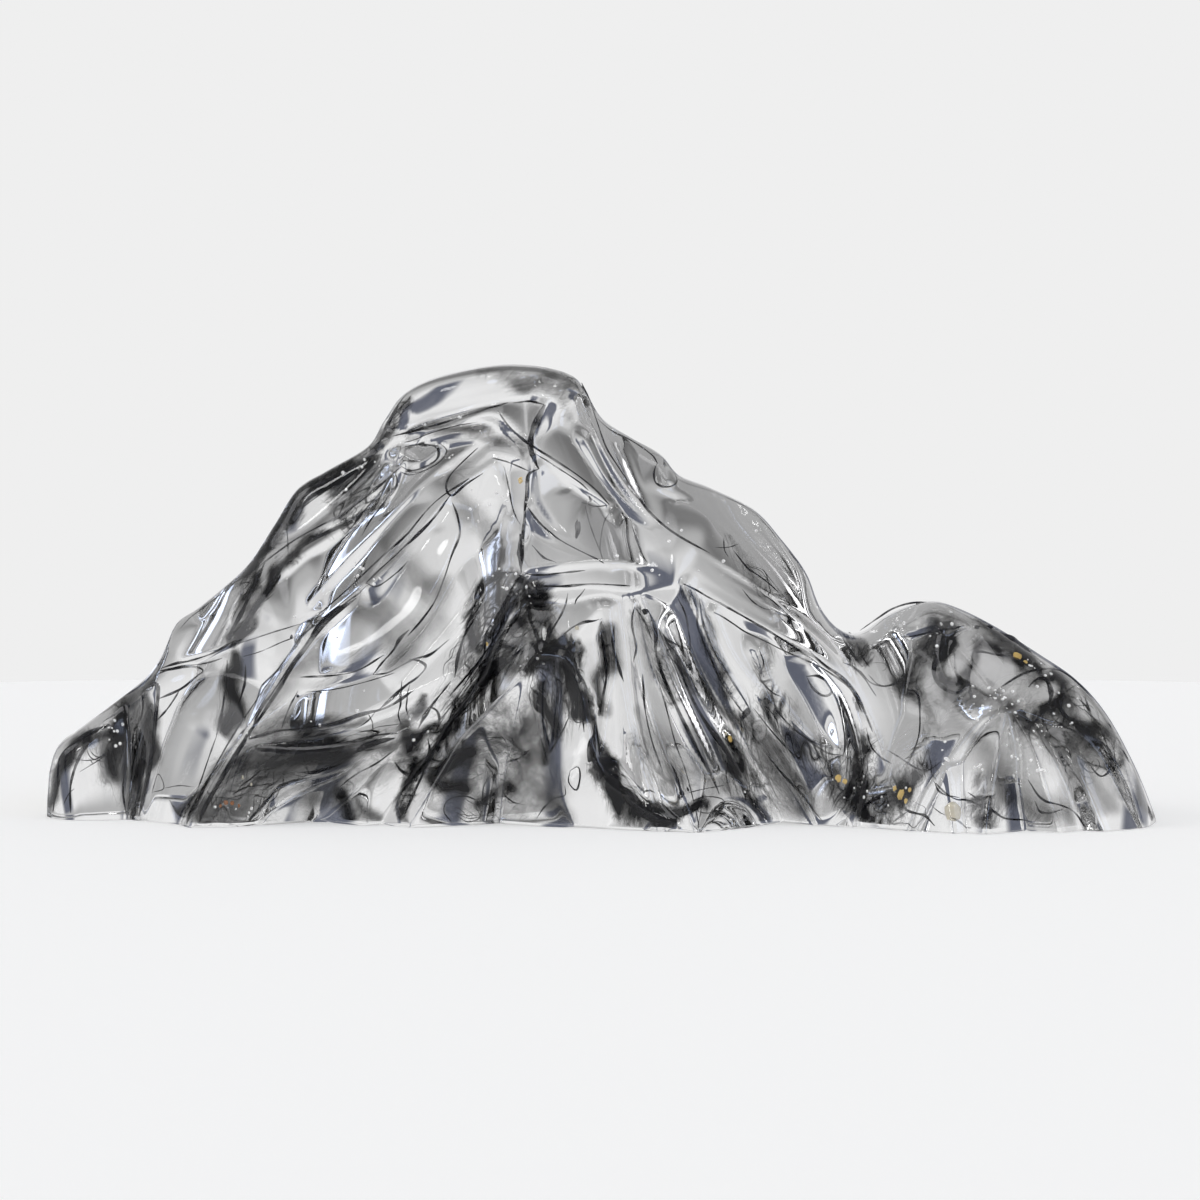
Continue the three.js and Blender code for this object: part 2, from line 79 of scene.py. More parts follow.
# The folds of the front: each fold's path of (x, z, out), how steeply the face falls from its
# crest on the left and on the right of a fold drawn downwards, or below and above one drawn to the
# right, and how round the crest is.
FRONT_FOLDS = [
    # the cap, and the brow that runs down from it to a sharp tip
    ([(-101, 218, 17), (-82, 227, 21), (-60, 233, 21), (-42, 237, 15)], (1.3, 0.5), 7),
    ([(-34, 232, 14), (-22, 230, 15), (-11, 230, 11)], (1.3, 0.8), 3),
    ([(-117, 203, 13), (-96, 208, 18), (-76, 213, 21), (-55, 217, 22), (-36, 200, 27),
      (-15, 184, 30), (5, 169, 33)], (1.4, 1), 1.5),
    ([(-92, 205, 19), (-78, 207, 23), (-64, 207, 24)], (1.5, 1.2), 3),
    # the upright fold in the middle, down to the knot that all folds meet in
    ([(-30, 223, 18), (-36, 207, 25), (-37, 195, 30), (-40, 172, 38), (-41, 152, 47),
      (-40, 132, 58)], (0.9, 1), 1),
    ([(-58, 197, 24), (-46, 194, 28), (-34, 188, 32)], (1.1, 1.1), 2),
    # the left shoulder
    ([(-104, 193, 19), (-122, 176, 19), (-140, 162, 18), (-160, 149, 16), (-180, 138, 14),
      (-197, 125, 10)], (1.1, 1.2), 1.5),
    ([(-128, 163, 21), (-146, 151, 23), (-160, 142, 25), (-173, 129, 28), (-185, 112, 31),
      (-197, 95, 33)], (1.8, 1), 1.5),
    ([(-110, 185, 22), (-113, 172, 25), (-120, 160, 27), (-132, 146, 29), (-146, 132, 32)],
        (1.2, 1.2), 1),
    ([(-107, 196, 20), (-97, 192, 23), (-88, 197, 22)], (1.6, 1.6), 4),
    # the long left folds, which open out towards the foot
    ([(-66, 202, 22), (-82, 191, 25), (-98, 178, 28), (-116, 159, 32), (-134, 140, 37),
      (-153, 117, 43)], (1.6, 0.8), 1.5),
    ([(-60, 196, 24), (-80, 178, 31), (-100, 157, 38), (-121, 131, 44), (-139, 114, 49),
      (-157, 97, 53)], (1.1, 1.3), 1.5),
    ([(-154, 102, 51), (-169, 78, 57), (-182, 55, 61), (-197, 33, 65), (-209, 12, 68),
      (-216, -6, 69)], (2.6, 0.5), 1.5),
    ([(-57, 191, 27), (-74, 180, 32), (-90, 163, 38), (-106, 142, 43), (-123, 125, 48)],
        (1.4, 0.25), 1),
    ([(-56, 190, 27), (-50, 174, 33), (-47, 163, 39), (-42, 154, 45)], (0.2, 1.4), 1),
    ([(-79, 169, 35), (-76, 155, 41), (-81, 139, 45), (-90, 121, 50), (-100, 104, 53),
      (-120, 88, 55), (-146, 79, 55), (-162, 76, 56)], (0.2, 1), 1.5),
    # the low block at the left end, and the shelf above its plates
    ([(-278, 34, 29), (-274, 18, 30), (-272, -6, 30)], (0.1, 0.5), 8),
    ([(-237, 72, 29), (-238, 50, 31), (-241, 25, 32), (-246, -6, 32)], (1, 0.1), 1.5),
    ([(-236, 82, 19), (-212, 90, 29), (-184, 99, 38), (-160, 108, 44), (-146, 114, 47)],
        (1.5, 0.8), 1),
    ([(-198, 86, 33), (-176, 94, 40), (-162, 99, 46)], (1.4, 0.8), 1),
    ([(-163, 99, 47), (-174, 86, 45), (-187, 71, 40), (-198, 58, 35), (-207, 30, 37),
      (-214, 2, 39)], (0.4, 1.4), 1.5),
    ([(-196, 84, 30), (-200, 60, 32), (-207, 30, 34)], (0.3, 1), 2),
    # the folds that meet low on the left
    ([(-72, 83, 61), (-94, 72, 61), (-116, 63, 61), (-142, 53, 63), (-166, 49, 64),
      (-183, 46, 64)], (0.7, 1.3), 1.5),
    ([(-96, 53, 65), (-124, 43, 65), (-152, 39, 66), (-180, 40, 65)], (1.3, 1), 1.5),
    ([(-98, 48, 64), (-118, 37, 62), (-135, 26, 60), (-156, 17, 57), (-172, 7, 55),
      (-184, -6, 54)], (0.9, 1.3), 1.5),
    ([(-100, 46, 63), (-112, 30, 61), (-120, 14, 58), (-126, -6, 57)], (1, 1), 2),
    ([(-186, 38, 64), (-192, 22, 65), (-198, -6, 66)], (0.5, 1), 3),
    ([(-42, 130, 58), (-55, 107, 60), (-73, 80, 62), (-95, 54, 65)], (0.9, 1.2), 1.5),
    ([(-68, 118, 53), (-86, 96, 56), (-104, 74, 60)], (0.8, 1), 2),
    # the pyramid in the middle of the foot
    ([(-33, 91, 70), (-46, 74, 68), (-58, 60, 67), (-71, 46, 66), (-81, 30, 66), (-91, 13, 67),
      (-102, -6, 68)], (1.3, 0.25), 1),
    ([(-31, 91, 70), (-18, 88, 69), (-10, 74, 68), (-7, 58, 70), (-4, 42, 74), (3, 27, 79),
      (16, 17, 83), (30, 8, 87), (52, 1, 92)], (0.3, 1.4), 1),
    ([(-31, 88, 69), (-32, 58, 68), (-26, 32, 67), (-18, -6, 66)], (0.45, 0.45), 2),
    # the shelf from the knot to the right, and the fan of flutes that hangs from it
    ([(-38, 134, 58), (-15, 137, 56), (8, 138, 54), (30, 134, 53), (50, 126, 54),
      (72, 113, 57), (94, 101, 59), (114, 89, 61), (130, 74, 63), (142, 54, 65), (150, 30, 68),
      (156, -6, 71)], (1.1, 0.8), 1),
    ([(-38, 166, 41), (-28, 153, 46), (-12, 143, 51), (6, 136, 54)], (0.9, 0.9), 1.5),
    ([(-34, 185, 33), (-32, 171, 38), (-22, 157, 43), (-8, 146, 48), (4, 140, 51)],
        (1, 0.7), 1.5),
    ([(-34, 124, 58), (-6, 126, 58), (18, 124, 57), (38, 126, 57)], (1.5, 0.4), 1.5),
    ([(-2, 112, 58), (-13, 99, 61), (-13, 80, 65), (-8, 62, 69)], (0.8, 1.2), 1.5),
    ([(1, 114, 58), (6, 98, 61), (7, 80, 64), (4, 62, 68), (1, 40, 73)], (1.2, 0.8), 1.5),
    ([(5, 114, 58), (9, 92, 61), (12, 70, 65), (17, 44, 71), (24, 20, 81), (33, -6, 90)],
        (0.9, 1.2), 1.5),
    ([(18, 117, 57), (20, 88, 62), (26, 62, 70), (34, 38, 78), (43, 16, 88), (51, -6, 95)],
        (0.8, 2.2), 1.5),
    ([(22, 119, 57), (30, 97, 59), (38, 75, 61), (48, 52, 62), (57, 30, 59), (68, -6, 53)],
        (1.1, 1.1), 1.5),
    ([(34, 104, 57), (43, 83, 58), (54, 60, 59), (66, 40, 57), (80, 14, 53)], (1, 1.3), 2),
    ([(44, 126, 58), (53, 107, 60), (64, 83, 63), (76, 62, 63), (88, 42, 61), (104, 16, 57),
      (116, -6, 55)], (1.5, 0.9), 1),
    ([(60, 112, 58), (70, 89, 61), (84, 71, 63), (102, 50, 63), (119, 30, 63),
      (134, -6, 65)], (0.9, 1.1), 1.5),
    ([(84, 92, 60), (92, 70, 63), (110, 47, 65), (127, 38, 67)], (0.8, 1.1), 2),
    ([(110, 84, 62), (122, 66, 66), (127, 40, 68), (126, 10, 67)], (1, 0.9), 2),
    # the long right folds, from the cap to the valley, and the slab behind them
    ([(-11, 232, 12), (-4, 212, 18), (4, 194, 24), (16, 175, 31), (32, 158, 38), (52, 145, 43),
      (72, 133, 48), (94, 119, 52), (113, 105, 56), (127, 89, 59), (138, 66, 62), (147, 36, 66),
      (153, -6, 70)], (1, 1.2), 1),
    ([(-8, 204, 21), (4, 182, 28), (18, 165, 35), (38, 149, 41), (60, 134, 47), (84, 119, 52),
      (104, 105, 55)], (1.2, 1), 1),
    ([(6, 162, 37), (14, 149, 43), (28, 142, 47), (46, 135, 50), (68, 122, 53), (90, 109, 56)],
        (0.9, 0.8), 1.5),
    ([(26, 178, 22), (46, 172, 22), (66, 151, 28), (90, 137, 33), (112, 121, 38)],
        (0.25, 0.7), 3),
    ([(33, 190, 16), (36, 182, 22)], (1.4, 1.4), 4),
    # the hill, its brow, and the folds that spread from the star on its face
    ([(141, 92, 16), (160, 98, 22), (182, 103, 24), (206, 103, 20)], (1.3, 0.6), 1.5),
    ([(208, 69, 58), (218, 76, 51), (230, 81, 42), (246, 79, 36), (262, 64, 44),
      (276, 38, 55), (290, 4, 62)], (1.5, 0.8), 1),
    ([(150, 92, 22), (158, 74, 38), (160, 56, 52), (164, 34, 66)], (0.8, 0.8), 4),
    ([(184, 100, 26), (181, 84, 38), (186, 70, 48), (200, 62, 58)], (0.9, 0.9), 4),
    ([(214, 98, 20), (206, 84, 36), (207, 72, 48)], (0.8, 0.9), 4),
    ([(212, 62, 62), (198, 55, 68), (184, 41, 80), (170, 24, 88), (157, -6, 84)],
        (1.1, 0.7), 1.5),
    ([(178, 50, 66), (179, 30, 86), (182, -6, 101)], (0.9, 0.8), 2),
    ([(213, 60, 64), (206, 40, 83), (200, 20, 96), (196, -6, 103)], (0.9, 0.8), 1.5),
    ([(216, 60, 64), (225, 40, 80), (230, 20, 91), (238, -6, 95)], (0.8, 1.3), 1),
    ([(219, 61, 63), (244, 52, 64), (260, 43, 66), (274, 24, 73), (286, -6, 76)],
        (1, 0.8), 1.5),
    ([(232, 50, 66), (246, 34, 78), (262, -6, 88)], (0.6, 0.9), 3),
]

# The back is plainer: broad round ridges that run down from the peak, the shoulder and the hill.
BACK_FOLDS = [
    ([(-100, 214, 16), (-64, 226, 24), (-30, 224, 20)], (0.9, 0.5), 14),
    ([(-46, 222, 22), (-64, 176, 40), (-92, 110, 58), (-124, -6, 80)], (0.45, 0.4), 16),
    ([(-34, 222, 20), (-20, 160, 46), (-8, 80, 70), (0, -6, 88)], (0.45, 0.45), 14),
    ([(-14, 214, 16), (28, 150, 44), (64, 84, 64), (92, -6, 80)], (0.45, 0.5), 14),
    ([(44, 172, 16), (84, 124, 36), (118, 70, 52), (138, -6, 62)], (0.5, 0.6), 12),
    ([(-124, 186, 22), (-160, 132, 28), (-186, 96, 32)], (0.4, 0.3), 12),
    ([(-120, 170, 24), (-160, 104, 42), (-190, 40, 54), (-208, -6, 58)], (0.5, 0.5), 14),
    ([(-222, 78, 30), (-226, 40, 32), (-228, -6, 32)], (0.12, 0.3), 12),
    ([(-270, 40, 24), (-272, 20, 24), (-273, -6, 24)], (0.08, 0.4), 10),
    ([(150, 96, 12), (182, 100, 18), (214, 90, 16)], (0.8, 0.5), 10),
    ([(182, 96, 18), (178, 60, 46), (170, -6, 66)], (0.5, 0.45), 14),
    ([(206, 90, 18), (224, 50, 50), (240, -6, 68)], (0.45, 0.5), 14),
]

# How the faces follow their folds. Just under the skyline they stand out by SKYLINE_STAND, and
# their floor lies HOLLOW_DEPTH behind the foot. A fold drops away steeply by its crest, flatter
# beyond FALL_REACH, with FAR_FALL of that fall, and then ever steeper, over FALL_LENGTH.
SKYLINE_STAND = 7
HOLLOW_DEPTH = 12
FALL_REACH = 10
FAR_FALL = 0.6
FALL_LENGTH = 90
BLEND = 0.8  # how softly two folds meet
RIM = 7  # the width over which the faces turn round to meet at the skyline
FOOT_RIM = 18  # how much wider that is at the foot of the two ends

# How finely the casting is made: columns along the skyline, rows from the foot to the skyline.
SKYLINE_RUN = 900  # about the length of the skyline, up and down its slopes
COLUMNS = 520
FRONT_ROWS = 138
BACK_ROWS = 44
SKYLINE_STEP = 5
CURVE_SAMPLES = 40
CREST_STEP = 1.5
CREST_REACH = 45  # beyond this a fold no longer counts
SAME_PLACE = 4  # decimals of a millimetre to which vertices are told apart
DOWNWARD = -0.999  # the normal of the flat underside


def spline(path, step):
    """Points a step apart on a smooth curve through (x, z, out) points."""
    points = np.array([(*point, 0)[:3] for point in path], float)
    ends = np.vstack([2 * points[0] - points[1], points, 2 * points[-1] - points[-2]])
    t = np.linspace(0, 1, CURVE_SAMPLES, endpoint=False)[:, None]
    parts = []
    for a, b, c, d in zip(ends, ends[1:], ends[2:], ends[3:]):
        slope = c - a
        bend = 2 * a - 5 * b + 4 * c - d
        twist = 3 * b - a - 3 * c + d
        parts.append((2 * b + slope * t + bend * t**2 + twist * t**3) / 2)
    fine = np.vstack(parts + [points[-1:]])
    run = np.concatenate([[0], np.cumsum(np.linalg.norm(np.diff(fine, axis=0), axis=1))])
    stops = np.linspace(0, run[-1], max(2, round(run[-1] / step)) + 1)
    return np.stack([np.interp(stops, run, fine[:, k]) for k in range(3)], axis=1)


def nearest_on(line, x, z):
    """For each x, z: the squared distance to a line of points, its out there, and the side."""
    best = np.full(x.shape, np.inf)
    out = np.zeros(x.shape)
    side = np.zeros(x.shape)
    for a, b in zip(line, line[1:]):
        run_x, run_z = b[0] - a[0], b[1] - a[1]
        length2 = run_x**2 + run_z**2
        t = np.clip(((x - a[0]) * run_x + (z - a[1]) * run_z) / length2, 0, 1)
        off_x = x - a[0] - run_x * t
        off_z = z - a[1] - run_z * t
        squared = off_x**2 + off_z**2
        near = squared < best
        turn = (run_x * off_z - run_z * off_x) / np.sqrt(length2 * np.maximum(squared, TINY))
        best = np.where(near, squared, best)
        out = np.where(near, a[2] + (b[2] - a[2]) * t, out)
        side = np.where(near, turn, side)
    return best, out, side


def near_line(line, reach, x, z):
    """Which x, z lie in the box round a line of points, with a reach all round it."""
    low_x, low_z = line[:, :2].min(axis=0) - reach
    high_x, high_z = line[:, :2].max(axis=0) + reach
    return (x > low_x) & (x < high_x) & (z > low_z) & (z < high_z)


def value_at(table, x):
    """The value at x of a smooth curve through (x, value) points."""
    xs, values = np.array(table, float).T
    i = np.clip(np.searchsorted(xs, x), 1, len(xs) - 1)
    t = np.clip((x - xs[i - 1]) / (xs[i] - xs[i - 1]), 0, 1)
    return values[i - 1] + (values[i] - values[i - 1]) * t * t * (3 - 2 * t)


SKYLINE_POINTS = spline(SKYLINE, SKYLINE_STEP)
SKYLINE_POINTS[[0, -1], 1] = 0


def skyline_height(x):
    return np.interp(x, SKYLINE_POINTS[:, 0], SKYLINE_POINTS[:, 1])


def stand_out(folds, foot, x, z):
    """How far a face stands out from the plane of the skyline at each x, z."""
    low = np.clip(1 - z / np.maximum(skyline_height(x), TINY), 0, 1)
    ground = value_at(foot, x) - HOLLOW_DEPTH
    total = np.exp((SKYLINE_STAND + (ground - SKYLINE_STAND) * low) / BLEND)
    for path, (left, right), crest in folds:
        line = spline(path, CREST_STEP)
        by = near_line(line, CREST_REACH, x, z)
        squared, out, side = nearest_on(line, x[by], z[by])
        away = np.sqrt(squared + crest**2) - crest
        slope = (left + right + side * (right - left)) / 2
        hollow = (1 - FAR_FALL) * FALL_REACH * (1 - np.exp(-away / FALL_REACH))
        drop = slope * (FAR_FALL * away + hollow) + away**2 / FALL_LENGTH
        total[by] += np.exp((out - drop) / BLEND)
    inside = np.sqrt(nearest_on(SKYLINE_POINTS, x, z)[0])
    rim = 1 - np.minimum(inside / (RIM + FOOT_RIM * low), 1)
    return BLEND * np.log(total) * np.sqrt(1 - rim**2)


# The place of the skyline's plane in the frame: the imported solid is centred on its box.
TOP = max(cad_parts["resin_mountain"].data.vertices, key=lambda vertex: vertex.co.z)
PLANE_Y = TOP.co.y / MM
SHIFT_X = CAD_BOX[0][0] / MM - SKYLINE[0][0]


def grid_faces(first, columns, rows, flip):
    """Triangles over a grid of vertices, whose corners are numbered column by column."""
    i, j = np.meshgrid(np.arange(columns - 1), np.arange(rows - 1), indexing="ij")
    a = (first + i * rows + j).ravel()
    b, c, d = a + rows, a + rows + 1, a + 1
    faces = np.concatenate([np.stack([a, b, c], 1), np.stack([a, c, d], 1)])
    return faces[:, ::-1] if flip else faces


def face_grid(folds, foot, towards, columns, rows):
    """One face, column by column from its foot to the skyline."""
    x = np.repeat(columns[:, 0], rows)
    z = np.outer(columns[:, 1], np.linspace(0, 1, rows)).ravel()
    y = towards * stand_out(folds, foot, x, z).reshape(-1, rows)
    y[:, -1] = 0
    y[[0, -1]] = 0
    return np.stack([x, y.ravel(), z], axis=1)


def casting_shell():
    """The front, the back and the flat underside between their feet."""
    columns = spline(SKYLINE, SKYLINE_RUN / COLUMNS)
    columns[[0, -1], 1] = 0
    count = len(columns)
    front = face_grid(FRONT_FOLDS, FRONT_FOOT, -1, columns, FRONT_ROWS)
    back = face_grid(BACK_FOLDS, BACK_FOOT, 1, columns, BACK_ROWS)
    feet = np.vstack([front[::FRONT_ROWS], back[::BACK_ROWS]])
    across = np.stack([np.arange(count), np.arange(count) + count], 1).ravel()
    faces = np.vstack([
        grid_faces(0, count, FRONT_ROWS, False),
        grid_faces(len(front), count, BACK_ROWS, True),
        across[grid_faces(0, count, 2, True)] + len(front) + len(back),
    ])
    return np.vstack([front, back, feet]), faces


def join_corners(vertices, faces):
    """Makes one vertex of those in the same place, and leaves out triangles that close up."""
    joined, index = np.unique(np.round(vertices, SAME_PLACE), axis=0, return_inverse=True)
    faces = index.reshape(-1)[faces]
    a, b, c = faces.T
    return joined, faces[(a != b) & (b != c) & (a != c)]


def new_object(name, vertices, faces):
    mesh = bpy.data.meshes.new(name)
    mesh.from_pydata(np.asarray(vertices).tolist(), [], np.asarray(faces).tolist())
    mesh.update()
    thing = bpy.data.objects.new(name, mesh)
    bpy.context.scene.collection.objects.link(thing)
    return thing


def make_casting():
    """The casting, smooth all over but for its flat underside."""
    vertices, faces = join_corners(*casting_shell())
    low, high = np.array(CAD_BOX) / MM
    vertices = np.clip(vertices + (SHIFT_X, PLANE_Y, 0), low, high) * MM
    casting = new_object("resin_casting", vertices, faces)
    normals = np.zeros(len(faces) * 3)
    casting.data.polygons.foreach_get("normal", normals)
    casting.data.polygons.foreach_set("use_smooth", normals[2::3] >= DOWNWARD)
    return casting


def make_piece(name, vertices, faces, material):
    """A smooth piece that belongs to the casting."""
    piece = new_object(name, vertices, faces)
    piece.data.polygons.foreach_set("use_smooth", np.ones(len(faces), bool))
    piece.data.materials.append(material)
    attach(piece, "root")
    return piece


# The nodes of the materials and the studio.
def fill(node, inputs):
    """Gives inputs of a node their values, or links them to the output of another node."""
    for name, value in inputs.items():
        if isinstance(value, bpy.types.NodeSocket):
            node.id_data.links.new(value, node.inputs[name])
        else:
            node.inputs[name].default_value = value


def node_maker(tree):
    """Adds a node of a kind with values for its inputs, and settings for its own fields."""
    def add(kind, inputs=None, **settings):
        node = tree.nodes.new(kind)
        for name, value in settings.items():
            setattr(node, name, value)
        fill(node, inputs or {})
        return node
    return add


def new_material(name):
    """A material, and what adds nodes to it."""
    material = bpy.data.materials.new(name)
    material.use_nodes = True
    return material, node_maker(material.node_tree)


def dressed(material, inputs):
    """The material, with these inputs for its shader."""
    fill(material.node_tree.nodes["Principled BSDF"], inputs)
    return material


def object_place(add):
    return add("ShaderNodeTexCoord").outputs["Object"]


def noise(add, at, scale, detail=2.0, roughness=0.5):
    values = {"Vector": at, "Scale": scale, "Detail": detail, "Roughness": roughness}
    return add("ShaderNodeTexNoise", values).outputs["Fac"]


def reckon(add, operation, *values):
    """Arithmetic on values, each a number or the output of a node."""
    return add("ShaderNodeMath", dict(enumerate(values)), operation=operation).outputs[0]


def reckon_vector(add, operation, *values):
    """The same with vectors. It gives both outputs, a vector and a value."""
    return add("ShaderNodeVectorMath", dict(enumerate(values)), operation=operation).outputs


def follow(add, value, ends, results=(0.0, 1.0), how="SMOOTHSTEP"):
    """Runs from one result to the other while a value runs from one of its ends to the other."""
    names = ("Value", "From Min", "From Max", "To Min", "To Max")
    inputs = dict(zip(names, (value, *ends, *results)))
    return add("ShaderNodeMapRange", inputs, interpolation_type=how).outputs["Result"]


def between(add, factor, low, high):
    """A colour between two, each a colour or the output of a node."""
    mix = add("ShaderNodeMix", {"Factor": factor}, data_type="RGBA")
    ends = [(*colour, 1) if isinstance(colour, tuple) else colour for colour in (low, high)]
    fill(mix, {6: ends[0], 7: ends[1]})
    return mix.outputs[2]


COOLER = 1.01  # every grey of the studio is this much bluer


def grey_ramp(add, value, stops):
    """A grey that follows (value, brightness) stops."""
    low, high = stops[0][0], stops[-1][0]
    ramp = add("ShaderNodeValToRGB", {"Fac": follow(add, value, (low, high), how="LINEAR")})
    elements = ramp.color_ramp.elements
    while len(elements) < len(stops):
        elements.new(1)
    for element, (stop, grey) in zip(elements, stops):
        element.position = (stop - low) / (high - low)
        element.color = (grey, grey, grey * COOLER, 1)
    ramp.color_ramp.interpolation = "EASE"
    return ramp.outputs["Color"]


def camera_sees(add, seen, otherwise):
    """What the camera's own rays meet, and what all other rays meet."""
    by_camera = add("ShaderNodeLightPath").outputs["Is Camera Ray"]
    mixed = {0: by_camera, 1: otherwise.outputs[0], 2: seen.outputs[0]}
    return add("ShaderNodeMixShader", mixed).outputs[0]


# The clear resin, by plain values.
RESIN_TINT = (0.944, 0.944, 0.938, 1)
RESIN_IOR = 1.5


def resin_material():
    material, _ = new_material("clear_resin")
    return dressed(material, {"Base Color": RESIN_TINT, "Roughness": 0.0, "IOR": RESIN_IOR,
                              "Transmission Weight": 1})


